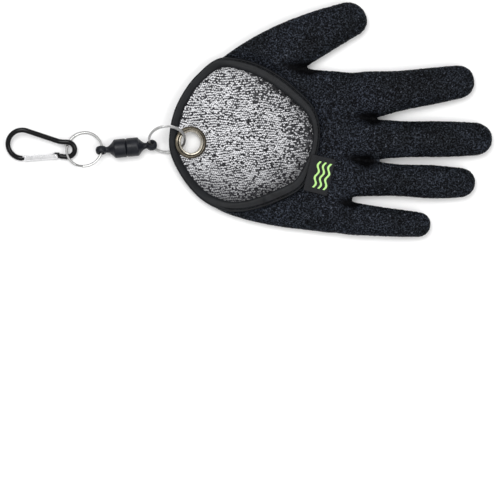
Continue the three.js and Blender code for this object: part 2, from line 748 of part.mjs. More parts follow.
const latex = new THREE.MeshStandardMaterial({ color: 0x202327, roughness: 0.75, metalness: 0 });
const knit = new THREE.MeshStandardMaterial({ color: 0xa8a8ac, roughness: 0.95, metalness: 0 });
const tape = new THREE.MeshStandardMaterial({ color: 0x1b1c1e, roughness: 0.7, metalness: 0 });
const woven = new THREE.MeshStandardMaterial({ color: 0x17181a, roughness: 0.8, metalness: 0 });
const oldNickel = new THREE.MeshStandardMaterial({ color: 0x8d8573, roughness: 0.3, metalness: 1 });
const nickel = new THREE.MeshStandardMaterial({ color: 0xd4d4d0, roughness: 0.2, metalness: 1 });
const moulded = new THREE.MeshStandardMaterial({ color: 0x25282d, roughness: 0.45, metalness: 0 });
const anodised = new THREE.MeshStandardMaterial({ color: 0x0d0d0e, roughness: 0.2, metalness: 0.6 });
const aluminium = new THREE.MeshStandardMaterial({ color: 0xe2e3e6, roughness: 0.3, metalness: 1 });

// Glove

const glove = new THREE.Group();
const loop = loopPrism(0);
const bindingRoom = bindingForm(gap);
const bore = eyeletBore();
const pastCorner = boxBetween(
  new THREE.Vector3(-farOut, -farOut, -farOut),
  new THREE.Vector3(cornerAt * palmLength, farOut, farOut),
);
const outsideTongue = pastCorner.subtract(loopPrism(tongueInset));
const mouth = loop.intersect(halfSpace(1, 0));

const shell = handForm(0)
  .subtract(handForm(coatWall))
  .subtract(mouth)
  .subtract(outsideTongue)
  .subtract(bindingRoom)
  .subtract(bore);
// The four fingers are a node of their own, parted from the hand across the knuckles
const knucklesX = knucklesAt * palmLength;
const fingerRoom = (lift) =>
  boxBetween(
    new THREE.Vector3(knucklesX + lift, -farOut, -farOut),
    new THREE.Vector3(farOut, thumbSideAt * palmWidth, farOut),
  );
glove.add(meshOf("glove_shell", largestOf(shell.subtract(fingerRoom(-gap / 2))), latex));
glove.add(meshOf("glove_fingers", largestOf(shell.intersect(fingerRoom(gap / 2))), latex));

const linerEnd = boxBetween(
  new THREE.Vector3(linerReach * palmLength, -farOut, -farOut),
  new THREE.Vector3(farOut, farOut, farOut),
);
const liner = palmForm(coatWall + gap)
  .subtract(palmForm(layers))
  .subtract(halfSpace(1, -gap))
  .subtract(outsideTongue)
  .subtract(linerEnd)
  .subtract(bindingRoom)
  .subtract(bore);
glove.add(meshOf("knit_liner", largestOf(liner), knit));

glove.add(meshOf("edge_binding", largestOf(bindingForm(0).subtract(eyeletRoom())), tape));
glove.add(meshOf("label_tab", labelSolid(), woven));
glove.add(meshOf("eyelet_flange", eyeletFlange(), oldNickel));
glove.add(meshOf("eyelet_washer", eyeletWasher(), oldNickel));

// Tether

const tether = new THREE.Group();
for (const [name, frame] of [
  ["split_ring_glove", gloveRingFrame],
  ["split_ring_clip", clipRingFrame],
]) {
  const ring = meshOf(name, splitRing(), nickel);
  ring.applyMatrix4(frame);
  tether.add(ring);
}

for (const [name, way, tangent] of [
  ["release_half_glove", 1, ringPoint(gloveRingSlopeX, gloveRingSlopeY, gloveEyeAngle + 90)],
  ["release_half_clip", -1, ringPoint(clipRingSlopeX, clipRingSlopeY, clipEyeAngle + 90)],
]) {
  const half = meshOf(name, releaseHalf(), moulded);
  half.position.copy(releaseMiddle);
  half.quaternion.copy(releaseTurn(way, tangent));
  tether.add(half);
}

const clip = new THREE.Group();
clip.add(meshOf("clip_body", clipBody(), anodised));
const gate = meshOf("clip_gate", gateSolid(), aluminium);
gate.position.copy(gatePivot);
gate.rotation.z = gateHeading;
clip.add(gate);
clip.rotation.x = radians(clipRoll);
clip.position.set(
  clipRingCentre.x - splitRingRadius + 0.08 * clipSmallRadius,
  clipRingCentre.y,
  0,
);
clip.position.z = -new THREE.Box3().setFromObject(clip, true).min.z;
tether.add(clip);

// The part's own frame: the middle of its footprint on the table

const part = new THREE.Group();
part.add(glove, tether);
const box = new THREE.Box3().setFromObject(part, true);
part.position.set(-(box.min.x + box.max.x) / 2, -(box.min.y + box.max.y) / 2, -box.min.z);

export default part;
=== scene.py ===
import json
import math
import random

import bmesh
import bpy
import numpy as np
from mathutils import Matrix, Vector, noise
from mathutils.bvhtree import BVHTree


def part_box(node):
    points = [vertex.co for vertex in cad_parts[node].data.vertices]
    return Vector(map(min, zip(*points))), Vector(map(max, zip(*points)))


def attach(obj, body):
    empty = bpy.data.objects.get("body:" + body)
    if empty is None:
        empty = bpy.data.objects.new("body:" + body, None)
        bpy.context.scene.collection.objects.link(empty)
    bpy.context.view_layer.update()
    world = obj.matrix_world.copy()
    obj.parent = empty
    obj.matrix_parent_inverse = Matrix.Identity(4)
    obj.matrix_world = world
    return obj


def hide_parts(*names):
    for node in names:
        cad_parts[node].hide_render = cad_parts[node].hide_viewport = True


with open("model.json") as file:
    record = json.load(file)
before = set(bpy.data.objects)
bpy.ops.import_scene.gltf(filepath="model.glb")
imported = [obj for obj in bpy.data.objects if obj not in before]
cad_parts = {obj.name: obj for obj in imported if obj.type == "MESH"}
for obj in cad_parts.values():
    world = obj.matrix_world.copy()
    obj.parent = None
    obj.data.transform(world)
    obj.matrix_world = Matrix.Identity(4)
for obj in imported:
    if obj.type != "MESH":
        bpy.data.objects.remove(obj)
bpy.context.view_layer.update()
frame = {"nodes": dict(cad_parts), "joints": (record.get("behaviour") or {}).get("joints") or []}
mm = 0.001
up = Vector((0, 0, 1))
dice = random.Random(7)
print("frame loaded")


# The camera stands straight above, as in the photo

photo = {
    "pixel": 0.83 * mm, "size": 500, "centreX": 248.48, "centreY": 119.52,
    "lens": 200, "sensor": 36, "trueAt": 9 * mm,  # height over the floor that is seen at true size
}


def makeCamera():
    camera = bpy.data.cameras.new("camera")
    camera.lens = photo["lens"]
    camera.sensor_width = photo["sensor"]
    width = photo["size"] * photo["pixel"]
    height = width * photo["lens"] / photo["sensor"] + photo["trueAt"]
    x = (photo["size"] / 2 - photo["centreX"]) * photo["pixel"]
    y = (photo["centreY"] - photo["size"] / 2) * photo["pixel"]
    view = bpy.data.objects.new("camera", camera)
    view.location = (x, y, height)
    camera.clip_end = 20
    bpy.context.scene.collection.objects.link(view)
    bpy.context.scene.camera = view


makeCamera()


# Shared steps


def mergedCopy(node):
    bm = opened(frame["nodes"][node].data)
    bmesh.ops.remove_doubles(bm, verts=bm.verts, dist=0.01 * mm)
    return bm


def surfaceOf(node):
    bm = mergedCopy(node)
    tree = BVHTree.FromBMesh(bm)
    bm.free()
    return tree


def pointsOf(node):
    return np.array([v.co for v in frame["nodes"][node].data.vertices])


def placeOf(centre, axis, across):
    axis = axis.normalized()
    across = (across - axis * across.dot(axis)).normalized()
    place = Matrix((across, axis.cross(across), axis)).transposed().to_4x4()
    place.translation = centre
    return place


def discPlace(node):  # centre and plane of an eyelet or a ring
    points = pointsOf(node)
    middle = points.mean(0)
    axis = Vector(np.linalg.svd(points - middle, full_matrices=False)[2][2])
    if axis.z < 0:
        axis.negate()
    place = placeOf(Vector(middle), axis, Vector((1, 0, 0)))
    flat = (points - middle) @ np.array(place.to_3x3())
    table = np.c_[2 * flat[:, :2], np.ones(len(flat))]
    fit = np.linalg.lstsq(table, (flat[:, :2] ** 2).sum(1), rcond=None)[0]
    place.translation = place @ Vector((fit[0], fit[1], (flat[:, 2].min() + flat[:, 2].max()) / 2))
    return place


def newObject(name, mesh):
    made = bpy.data.objects.new(name, mesh)
    bpy.context.scene.collection.objects.link(made)
    return made


def clamp(value):
    return min(1, max(0, value))


def opened(mesh):
    bm = bmesh.new()
    bm.from_mesh(mesh)
    return bm


def closeInto(bm, made):
    bm.to_mesh(made.data)
    bm.free()


def toMesh(bm, name):
    mesh = bpy.data.meshes.new(name)
    bm.to_mesh(mesh)
    bm.free()
    return mesh


def modify(made, kind, **settings):  # adds a modifier and applies it
    modifier = made.modifiers.new(kind.lower(), kind)
    for name, value in settings.items():
        setattr(modifier, name, value)
    graph = bpy.context.evaluated_depsgraph_get()
    mesh = bpy.data.meshes.new_from_object(made.evaluated_get(graph))
    made.modifiers.clear()
    made.data = mesh


def finishPiece(made, finish, nodes=(), slot=None, body="root", sharp=None):
    made.data.materials.clear()
    made.data.materials.append(finish)
    made.data.polygons.foreach_set("use_smooth", [True] * len(made.data.polygons))
    if sharp:
        made.data.set_sharp_from_angle(angle=math.radians(sharp))
    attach(made, body)
    if nodes:
        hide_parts(*nodes)
    return made


def toPiece(bm, name, *details, **settings):
    return finishPiece(newObject(name, toMesh(bm, name)), *details, **settings)


def melt(made, voxel, smoothing):  # one even skin over all that it holds
    modify(made, "REMESH", mode="VOXEL", voxel_size=voxel)
    modify(made, "SMOOTH", factor=0.5, iterations=smoothing)


def bevel(bm, geom, offset, segments, affect="EDGES", **more):
    bmesh.ops.bevel(
        bm, geom=geom, offset=offset, segments=segments, affect=affect, profile=0.5, material=-1, **more
    )


def rimsOf(bm):  # edges round the flat ends
    return [edge for edge in bm.edges if any(len(face.verts) > 4 for face in edge.link_faces)]


def outward(bm):
    bmesh.ops.remove_doubles(bm, verts=bm.verts, dist=0.005 * mm)
    bmesh.ops.recalc_face_normals(bm, faces=bm.faces)


def profileLoop(points, rounding=0.0, segments=3):  # a closed outline in the XZ plane
    bm = bmesh.new()
    verts = [bm.verts.new((x, 0, z)) for x, z in points]
    for k in range(len(verts)):
        bm.edges.new((verts[k - 1], verts[k]))
    if rounding:
        bevel(bm, verts, rounding, segments, "VERTICES")
    return bm


def turned(points, steps, rounding=0.0):
    bm = profileLoop(points, rounding)
    bmesh.ops.spin(
        bm, geom=bm.verts[:] + bm.edges[:], axis=up, cent=(0, 0, 0),
        angle=2 * math.pi, steps=steps, use_merge=True,
    )
    outward(bm)
    return bm


def splined(xs, ys, x):  # smooth curve through a table's column
    xs, ys = np.array(xs, float), np.array(ys, float)
    slopes = np.gradient(ys, xs)
    k = int(np.clip(np.searchsorted(xs, x) - 1, 0, len(xs) - 2))
    h = xs[k + 1] - xs[k]
    t = (x - xs[k]) / h
    return float(
        (2 * t**3 - 3 * t**2 + 1) * ys[k]
        + (t**3 - 2 * t**2 + t) * h * slopes[k]
        + (3 * t**2 - 2 * t**3) * ys[k + 1]
        + (t**3 - t**2) * h * slopes[k + 1]
    )


# Materials


def newFinish(name, colour, **sockets):  # the last result is the object's own coordinates
    finish = bpy.data.materials.new(name)
    finish.use_nodes = True
    tree = finish.node_tree
    shader = tree.nodes["Principled BSDF"]
    shader.inputs["Base Color"].default_value = (*colour, 1)
    for socket, value in sockets.items():
        shader.inputs[socket.replace("_", " ")].default_value = value
    return finish, tree, shader, addNode(tree, "TexCoord").outputs["Object"]


def addNode(tree, kind, inputs=None, **settings):
    node = tree.nodes.new("ShaderNode" + kind)
    for name, value in settings.items():
        setattr(node, name, value)
    for name, value in (inputs or {}).items():
        if isinstance(value, bpy.types.NodeSocket):
            tree.links.new(value, node.inputs[name])
        else:
            node.inputs[name].default_value = value
    return node


def addBump(tree, shader, height, distance, strength=1.0, before=None):
    bump = addNode(tree, "Bump", {"Height": height, "Distance": distance, "Strength": strength})
    if before:
        tree.links.new(before.outputs["Normal"], bump.inputs["Normal"])
    tree.links.new(bump.outputs["Normal"], shader.inputs["Normal"])
    return bump


def spread(tree, value, low, high, toLow=0.0, toHigh=1.0):
    return addNode(
        tree, "MapRange",
        {"Value": value, "From Min": low, "From Max": high, "To Min": toLow, "To Max": toHigh},
    ).outputs["Result"]


def mixColour(tree, factor, first, second):
    node = addNode(tree, "Mix", data_type="RGBA")
    for name, value in (("A", first), ("B", second)):
        socket = [s for s in node.inputs if s.name == name and s.type == "RGBA"][0]
        if isinstance(value, bpy.types.NodeSocket):
            tree.links.new(value, socket)
        else:
            socket.default_value = (*value, 1)
    tree.links.new(factor, node.inputs["Factor"])
    return [s for s in node.outputs if s.type == "RGBA"][0]


def shades(tree, value, low, high, first, second):  # first up to low, second from high on
    return mixColour(tree, spread(tree, value, low, high), first, second)


def noiseAt(tree, at, scale, detail=2.0, roughness=0.5):
    node = addNode(tree, "TexNoise", {"Vector": at, "Scale": scale, "Detail": detail, "Roughness": roughness})
    return node.outputs["Fac"]


def paint(tree, shader, colour):
    tree.links.new(colour, shader.inputs["Base Color"])


def latexFinish():  # crinkled dipped latex, black with a blue cast; painted light on the crinkle's crests, painted shade in its valleys and creases, and pale painted glints
    finish, tree, shader, at = newFinish(
        "crinkledLatex", (0.008, 0.009, 0.011), Roughness=0.5, Specular_IOR_Level=0.04
    )
    patches = noiseAt(tree, at, scale=34, detail=3)
    paintedGlints = noiseAt(tree, at, scale=560, detail=2.5, roughness=0.6)
    grain = noiseAt(tree, at, scale=760, detail=3, roughness=0.62)
    crests = addNode(
        tree, "TexVoronoi", {"Vector": at, "Scale": 700, "Smoothness": 0.35}, feature="SMOOTH_F1"
    ).outputs["Distance"]
    # painted light and shade: the crinkle's crests get a lit colour (ridge) and its valleys a shaded one
    shadedValley = mixColour(tree, patches, (0.0006, 0.0007, 0.0009), (0.0016, 0.0019, 0.0028))
    ridge = shades(tree, patches, 0.36, 0.66, (0.022, 0.026, 0.032), (0.036, 0.043, 0.059))
    litAndShadedCrinkle = shades(tree, grain, 0.45, 0.62, shadedValley, ridge)
    colour = shades(tree, crests, 0.22, 0.52, shadedValley, litAndShadedCrinkle)
    # painted highlights: pale glints where the crinkle catches the light
    colour = shades(tree, paintedGlints, 0.62, 0.72, colour, (0.075, 0.084, 0.105))
    # painted shade: the latex is darkened in the creases between the fingers, where shade falls
    paintedCreaseShadeMask = addNode(tree, "Attribute", attribute_name="paintedCreaseShade").outputs["Fac"]
    colour = mixColour(tree, spread(tree, paintedCreaseShadeMask, 0, 1, 0, 0.94), colour, (0.0015, 0.0015, 0.0018))
    paint(tree, shader, colour)
    low = addBump(tree, shader, crests, 0.55 * mm)
    addBump(tree, shader, grain, 0.45 * mm, 0.9, low)
    return finish


def knitFinish():  # each stitch has its own tone, darkened by a painted shade
    finish, tree, shader, at = newFinish(
        "melangeYarn", (0.4, 0.4, 0.41), Roughness=0.85, Specular_IOR_Level=0.04
    )
    tone = addNode(tree, "Attribute", attribute_name="yarnToneAndShade").outputs["Fac"]
    mixed = mixColour(tree, tone, (0.004, 0.0045, 0.006), (0.95, 0.955, 0.98))
    cloud = spread(tree, noiseAt(tree, at, scale=28), 0.35, 0.7, 0, 0.05)
    paint(tree, shader, mixColour(tree, cloud, mixed, (0.2, 0.2, 0.22)))
    addBump(tree, shader, noiseAt(tree, at, scale=3200), 0.15 * mm, 0.6)
    return finish


def backingFinish():  # the knit's ground, seen between the stitches and inside the glove
    finish, tree, shader, at = newFinish(
        "knitGround", (0.05, 0.05, 0.055), Roughness=0.95, Specular_IOR_Level=0.05
    )
    rows = addNode(
        tree, "TexWave", {"Vector": at, "Scale": 110, "Distortion": 3, "Detail": 2, "Detail Scale": 3},
        bands_direction="X",
    ).outputs["Fac"]
    grain = noiseAt(tree, at, scale=900)
    paint(tree, shader, shades(tree, grain, 0.4, 0.62, (0.005, 0.005, 0.006), (0.09, 0.09, 0.1)))
    addBump(tree, shader, rows, 0.4 * mm, 0.8)
    return finish


def tapeFinish():  # close woven bias tape
    finish, tree, shader, at = newFinish(
        "bindingTape", (0.006, 0.0065, 0.008), Roughness=0.45, Specular_IOR_Level=0.16
    )
    weave = addNode(tree, "TexVoronoi", {"Vector": at, "Scale": 1900}).outputs["Distance"]
    cloud = noiseAt(tree, at, scale=130, detail=4)
    paint(tree, shader, shades(tree, cloud, 0.35, 0.7, (0.0038, 0.0044, 0.0055), (0.0082, 0.0094, 0.0116)))
    soft = addBump(tree, shader, cloud, 0.5 * mm, 0.5)
    addBump(tree, shader, weave, 0.12 * mm, 0.6, soft)
    return finish


def threadFinish(name, colour):
    finish, tree, shader, at = newFinish(name, colour, Roughness=0.6)
    ply = noiseAt(tree, at, scale=4200, detail=1)
    dark, pale = (tuple(c * share for c in colour) for share in (0.6, 1.3))
    paint(tree, shader, shades(tree, ply, 0.35, 0.65, dark, pale))
    addBump(tree, shader, ply, 0.08 * mm, 0.7)
    return finish


def metalFinish(name, bright, dull, roughness):
    finish, tree, shader, at = newFinish(name, bright, Metallic=1.0, Roughness=roughness)
    tarnish = noiseAt(tree, at, scale=240, detail=5, roughness=0.65)
    paint(tree, shader, shades(tree, tarnish, 0.42, 0.72, bright, dull))
    rough = spread(tree, tarnish, 0.3, 0.75, roughness * 0.8, roughness * 1.5)
    tree.links.new(rough, shader.inputs["Roughness"])
    addBump(tree, shader, noiseAt(tree, at, scale=2400), 0.03 * mm, 0.3)
    return finish


def mouldedFinish():  # satin plastic with a fine spark texture
    finish, tree, shader, at = newFinish(
        "mouldedPlastic", (0.007, 0.008, 0.012), Roughness=0.36, Specular_IOR_Level=0.22
    )
    rub = noiseAt(tree, at, scale=160, detail=4)
    paint(tree, shader, shades(tree, rub, 0.4, 0.7, (0.006, 0.0072, 0.0105), (0.011, 0.0125, 0.0175)))
    tree.links.new(spread(tree, rub, 0.3, 0.7, 0.32, 0.46), shader.inputs["Roughness"])
    addBump(tree, shader, noiseAt(tree, at, scale=2600, detail=3), 0.04 * mm, 0.5)
    return finish


def anodisedFinish():
    finish, tree, shader, at = newFinish(
        "blackAnodised", (0.003, 0.003, 0.0035), Roughness=0.12, Specular_IOR_Level=0.2
    )
    drawn = noiseAt(tree, at, scale=900)
    paint(tree, shader, shades(tree, drawn, 0.4, 0.7, (0.002, 0.002, 0.0024), (0.005, 0.005, 0.006)))
    addBump(tree, shader, drawn, 0.02 * mm, 0.25)
    return finish


latex = latexFinish()
yarn = knitFinish()
ground = backingFinish()
tape = tapeFinish()
blackThread = threadFinish("blackThread", (0.016, 0.017, 0.02))
darkNickel = metalFinish("antiqueNickel", (0.17, 0.15, 0.115), (0.06, 0.052, 0.04), 0.2)
paleNickel = metalFinish("wornNickel", (0.36, 0.335, 0.285), (0.15, 0.135, 0.11), 0.2)
nickel = metalFinish("brightNickel", (0.62, 0.62, 0.615), (0.4, 0.4, 0.4), 0.3)
flatNickel = metalFinish("dullNickel", (0.4, 0.4, 0.395), (0.26, 0.26, 0.26), 0.28)
aluminium = metalFinish("satinAluminium", (0.93, 0.93, 0.94), (0.72, 0.72, 0.73), 0.22)
moulded = mouldedFinish()
anodised = anodisedFinish()
print("materials made")


# Mouth: the bound edge is measured on the frame, all the way round

binding = {
    "steps": 240,
    "reach": (20 * mm, 90 * mm, 0.25 * mm),
    "above": 50 * mm, "below": -10 * mm,  # where the measuring rays start
    "softening": (1, 2, 3, 2, 1),
    "thickness": 3.6 * mm,
    "foldedFrom": 0.24,  # share of the palm's length where the tape lies flat on the back, with a seam
    "foldedOver": 0.12,
    "facet": 4,  # degrees round the tape's section
    "lap": 0.5 * mm, "lapAngle": math.radians(8),  # the tape's end laps over its start
    "seamAt": 0.5, "seamWidth": 0.08, "seamDepth": 0.75,  # shares of the half width and thickness
    "ridgeAt": 0.82, "ridgeWidth": 0.19, "ridge": 0.34,
    "stitch": 2.3 * mm,
    "stitchPitch": 3.2 * mm,
    "thread": 0.5 * mm,
    "joinAt": math.radians(-73),
}


def wayOf(k):  # from the mouth's centre
    angle = 2 * math.pi * k / binding["steps"]
    return angle, Vector((math.cos(angle), math.sin(angle), 0))


def measureBinding():
    tree = surfaceOf("edge_binding")
    low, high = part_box("edge_binding")
    centre = (low + high) / 2
    start, end, step = binding["reach"]
    rows = []
    for k in range(binding["steps"]):
        way = wayOf(k)[1]
        hits = []
        for r in np.arange(start, end, step):
            spot = centre + way * r
            top = tree.ray_cast(Vector((spot.x, spot.y, binding["above"])), -up)[0]
            if top:
                bottom = tree.ray_cast(Vector((spot.x, spot.y, binding["below"])), up)[0]
                hits.append((r, top.z, bottom.z))
        hits = np.array(hits)
        inner, outer = hits[0, 0], hits[-1, 0]
        middle = (hits[:, 1] + hits[:, 2]) / 2
        tilt = np.polyfit(hits[:, 0], middle, 1)
        rows.append((inner, outer, tilt[0] * (inner + outer) / 2 + tilt[1], tilt[0]))
    table = np.array(rows)
    kernel = np.array(binding["softening"]) / sum(binding["softening"])
    for column in range(4):  # soften the facets
        wrapped = np.r_[table[-2:, column], table[:, column], table[:2, column]]
        table[:, column] = np.convolve(wrapped, kernel, "valid")
    return centre, table


mouthCentre, mouthTable = measureBinding()


def mouthAt(angle):  # inner and outer edge, height and slope of the bound edge
    place = (angle / (2 * math.pi) % 1) * len(mouthTable)
    k = int(place)
    here, there = mouthTable[k % len(mouthTable)], mouthTable[(k + 1) % len(mouthTable)]
    return here * (1 - place + k) + there * (place - k)


def mouthOffset(x, y):  # distance of a point outwards from the binding's middle line
    away = Vector((x - mouthCentre.x, y - mouthCentre.y))
    inner, outer = mouthAt(math.atan2(away.y, away.x))[:2]
    return away.length - (inner + outer) / 2


print("mouth measured")


# Glove: one skin over palm and fingers

glove = {
    "palmLength": 167 * mm,
    "palmWidth": 136 * mm,
    "thickness": 15 * mm,
    "wall": 1.6 * mm,
    "voxel": 1.05 * mm, "smoothing": 6,
    "liningVoxel": 2.4 * mm, "liningSmoothing": 5,
    "eyelet": (0.108, -0.021),  # shares of palm length and width
    "bore": 12 * mm,  # the skin's hole round the eyelet
    "cornerAt": 0.226,  # the side walls end here and only the tongue goes on
    "sinkFrom": 8 * mm, "sinkFade": 4 * mm,  # heights
    "tuckDepth": 0.42, "tuckSlope": 0.9, "tuckReach": 6 * mm,  # under the tape and past it
    "creaseShade": 1.9 * mm,  # the painted shade of a crease is darkest from this depth on
    "crinkle": 0.27 * mm, "crinkleScale": 2.0 * mm,
    "palmRound": 2.6,
    "palmFlat": 1.12,
    "fingerRound": 2.25,
    "fingerFlat": 1.05,
    "fingerArch": 1.6 * mm,
}
# at, low and high edge, middle height and half thickness
palmTable = [
    (0.01, -0.09, 0.09, 0.88, 0.213),
    (0.022, -0.135, 0.14, 0.86, 0.214),
    (0.042, -0.187, 0.205, 0.84, 0.253),
    (0.075, -0.255, 0.292, 0.787, 0.298),
    (0.122, -0.328, 0.365, 0.707, 0.357),
    (0.186, -0.385, 0.44, 0.613, 0.453),
    (0.266, -0.443, 0.495, 0.547, 0.5),
    (0.38, -0.491, 0.53, 0.5, 0.49),
    (0.529, -0.531, 0.5, 0.5, 0.5),
    (0.702, -0.558, 0.43, 0.5, 0.5),
    (0.84, -0.574, 0.414, 0.5, 0.5),
    (0.911, -0.565, 0.406, 0.48, 0.42),
]
girthAt = [0, 0.25, 0.45, 0.7, 0.88]
fingerThick = [0.8, 1.02, 0.98, 0.95, 0.84]
# length, width, root, heading, sideways bow, thickness and the girths at girthAt
fingers = {
    "thumb": (129.3 * mm, 38 * mm, (0.289, 0.334), 27.3, 0.0265, 1.05, [1.08, 1.15, 1.115, 0.962, 0.8]),
    "index": (117 * mm, 31 * mm, (0.826, 0.241), 8.2, -0.004, 1, [1.3, 1.275, 1.085, 0.985, 0.9]),
    "middle": (130.8 * mm, 30.5 * mm, (0.826, -0.003), 0.2, 0, 1.02, [1.25, 1.1, 0.99, 0.975, 0.91]),
    "ring": (116.8 * mm, 28 * mm, (0.826, -0.224), -3, -0.008, 0.97, [1.31, 1.06, 0.95, 0.995, 0.9]),
    "little": (88.1 * mm, 24 * mm, (0.777, -0.464), -5.6, -0.01, 0.9, [1.08, 1.14, 1.05, 0.955, 0.87]),
}
eyeletPlace = discPlace("eyelet_flange")
wrist = eyeletPlace.translation - Vector(
    (glove["eyelet"][0] * glove["palmLength"], glove["eyelet"][1] * glove["palmWidth"], 0)
)
wrist.z = 0


def handSpot(x, y, z=0):  # shares of the palm's length, width and thickness
    return wrist + Vector((x * glove["palmLength"], y * glove["palmWidth"], z * glove["thickness"]))


def palmValue(at, column):
    return splined([row[0] for row in palmTable], [row[column] for row in palmTable], at)


def ringAt(bm, centre, side, half, rise, power, flat, sides=40):
    made = bmesh.ops.create_circle(bm, segments=sides, radius=1)["verts"]
    for vert in made:
        a, b = vert.co.x, vert.co.y
        across = math.copysign(abs(a) ** (2 / power), a)
        lift = math.copysign(min(1, flat * abs(b) ** (2 / power)), b)
        vert.co = centre + side * (half * across) + up * (rise * lift)
    return list({edge for vert in made for edge in vert.link_edges})


def bridgeAll(bm, rings):
    for first, second in zip(rings, rings[1:]):
        bmesh.ops.bridge_loops(bm, edges=first + second)
    bmesh.ops.holes_fill(bm, edges=rings[0] + rings[-1], sides=0)


def addPalm(bm):
    rings = []
    for at in np.linspace(palmTable[0][0], palmTable[-1][0], 44):
        low, high, middle, half = (palmValue(at, column) for column in (1, 2, 3, 4))
        rings.append(ringAt(
            bm, handSpot(at, (low + high) / 2, middle), Vector((0, 1, 0)),
            (high - low) / 2 * glove["palmWidth"], half * glove["thickness"],
            glove["palmRound"], glove["palmFlat"], 64,
        ))
    bridgeAll(bm, rings)


def addFinger(bm, length, width, root, heading, bow, thick, girths):
    heading = math.radians(heading)
    along = Vector((math.cos(heading), math.sin(heading), 0))
    side = Vector((-along.y, along.x, 0))
    rings = []
    tip = girthAt[-1]
    stations = [(s, 1.0) for s in np.linspace(0, tip, 18)]
    for a in np.radians([12, 24, 36, 48, 60, 70, 79, 86]):
        stations.append((tip + (1 - tip) * math.sin(a), math.cos(a)))
    for share, shrink in stations:
        girth = splined(girthAt, girths, min(share, tip)) * shrink**0.9
        rise = splined(girthAt, fingerThick, min(share, tip)) * shrink**0.8
        bend = 4 * share * (1 - share)
        centre = handSpot(*root) + along * (share * length) + side * (bend * bow * length)
        centre += up * (glove["thickness"] / 2 + bend * glove["fingerArch"])
        rings.append(ringAt(
            bm, centre, side, girth * width / 2, rise * thick * glove["thickness"] / 2,
            glove["fingerRound"], glove["fingerFlat"],
        ))
    bridgeAll(bm, rings)


# where neighbouring fingers part, the back is creased: shares, heading, length, depth and width
creases = [
    (0.7, 0.428, 174, 30 * mm, 5.5 * mm, 4.6 * mm),
    (1.02, 0.122, 168, 23 * mm, 4.6 * mm, 4.6 * mm),
    (0.985, -0.137, 170, 24 * mm, 4.6 * mm, 4.6 * mm),
    (0.92, -0.39, 178, 19 * mm, 4.2 * mm, 4 * mm),
]


def creaseDepth(x, y):
    deepest = 0
    for shareX, shareY, heading, length, depth, width in creases:
        dx = x - wrist.x - shareX * glove["palmLength"]
        dy = y - wrist.y - shareY * glove["palmWidth"]
        a = math.radians(heading)
        along = dx * math.cos(a) + dy * math.sin(a)
        across = dy * math.cos(a) - dx * math.sin(a)
        if along > length or along < -length:
            continue
        run = 1 - along / length if along > 0 else 1 + along / (0.45 * length)
        fade = max(0, run) ** 1.3
        narrowed = width * (0.45 + 0.55 * max(0, run))
        deepest = max(deepest, depth * fade * math.exp(-((across / narrowed) ** 2)))
    return deepest


def sink(spot):  # the upper skin drops into the creases and under the tape
    above = clamp((spot.z - glove["sinkFrom"]) / glove["sinkFade"])
    if not above:
        return 0
    angle = math.atan2(spot.y - mouthCentre.y, spot.x - mouthCentre.x)
    inner, outer, height, slope = mouthAt(angle)
    offset = mouthOffset(spot.x, spot.y)
    past = max(0, offset - (outer - inner) / 2)
    ceiling = height + slope * offset - glove["tuckDepth"] * binding["thickness"] + glove["tuckSlope"] * past
    tuck = max(0, spot.z - ceiling) if past < glove["tuckReach"] else 0
    return above * max(tuck, creaseDepth(spot.x, spot.y))


def handSkin(voxel, smoothing):  # palm and fingers melted into one skin
    bm = bmesh.new()
    addPalm(bm)
    for finger in fingers.values():
        addFinger(bm, *finger)
    bmesh.ops.recalc_face_normals(bm, faces=bm.faces)
    skin = newObject("gloveSkin", toMesh(bm, "gloveSkin"))
    melt(skin, voxel, smoothing)
    return skin


def middleHeight(x):
    at = np.clip((x - wrist.x) / glove["palmLength"], palmTable[0][0], palmTable[-1][0])
    return palmValue(at, 3) * glove["thickness"]


def cutMouth(skin):
    bm = opened(skin.data)
    corner = wrist.x + glove["cornerAt"] * glove["palmLength"]
    doomed = []
    for face in bm.faces:
        spot = face.calc_center_median()
        if spot.x > wrist.x + 0.8 * glove["palmLength"]:
            continue
        offset = mouthOffset(spot.x, spot.y)
        inside = offset < 0
        onBack = spot.z > middleHeight(spot.x) + 0.4 * mm
        throughEyelet = (spot.xy - eyeletPlace.translation.xy).length < glove["bore"]
        if (inside and onBack) or (spot.x < corner and not inside) or throughEyelet:
            doomed.append(face)
    bmesh.ops.delete(bm, geom=doomed, context="FACES")
    islands = sorted(loosePieces(bm), key=len)
    for island in islands[:-1]:
        bmesh.ops.delete(bm, geom=island, context="VERTS")
    closeInto(bm, skin)


def loosePieces(bm):
    seen, pieces = set(), []
    for start in bm.verts:
        if start in seen:
            continue
        seen.add(start)
        found = [start]
        for vert in found:  # the list grows while it is read
            for edge in vert.link_edges:
                other = edge.other_vert(vert)
                if other not in seen:
                    seen.add(other)
                    found.append(other)
        pieces.append(found)
    return pieces


def buildGlove():
    skin = handSkin(glove["voxel"], glove["smoothing"])
    cutMouth(skin)
    bm = opened(skin.data)
    # painted shade: each vertex stores how dark the latex is painted in the creases
    paintedCreaseShade = bm.verts.layers.float.new("paintedCreaseShade")
    for vert in bm.verts:
        depth = min(1, creaseDepth(vert.co.x, vert.co.y) / glove["creaseShade"])
        vert[paintedCreaseShade] = depth * (vert.co.z > middleHeight(vert.co.x))
        vert.co.z -= sink(vert.co)
    bm.normal_update()
    for vert in bm.verts:
        spot = vert.co / glove["crinkleScale"]
        lift = noise.noise(spot) + 0.8 * noise.noise(spot * 2.1 + Vector((5, 3, 1)))
        vert.co += vert.normal * (glove["crinkle"] * lift)
        vert.co.z = max(vert.co.z, 0.02 * mm)
    tree = BVHTree.FromBMesh(bm)
    closeInto(bm, skin)
    finishPiece(skin, latex, ["glove_shell", "glove_fingers"], "latex")
    print("glove", len(skin.data.polygons), "faces")
    return tree


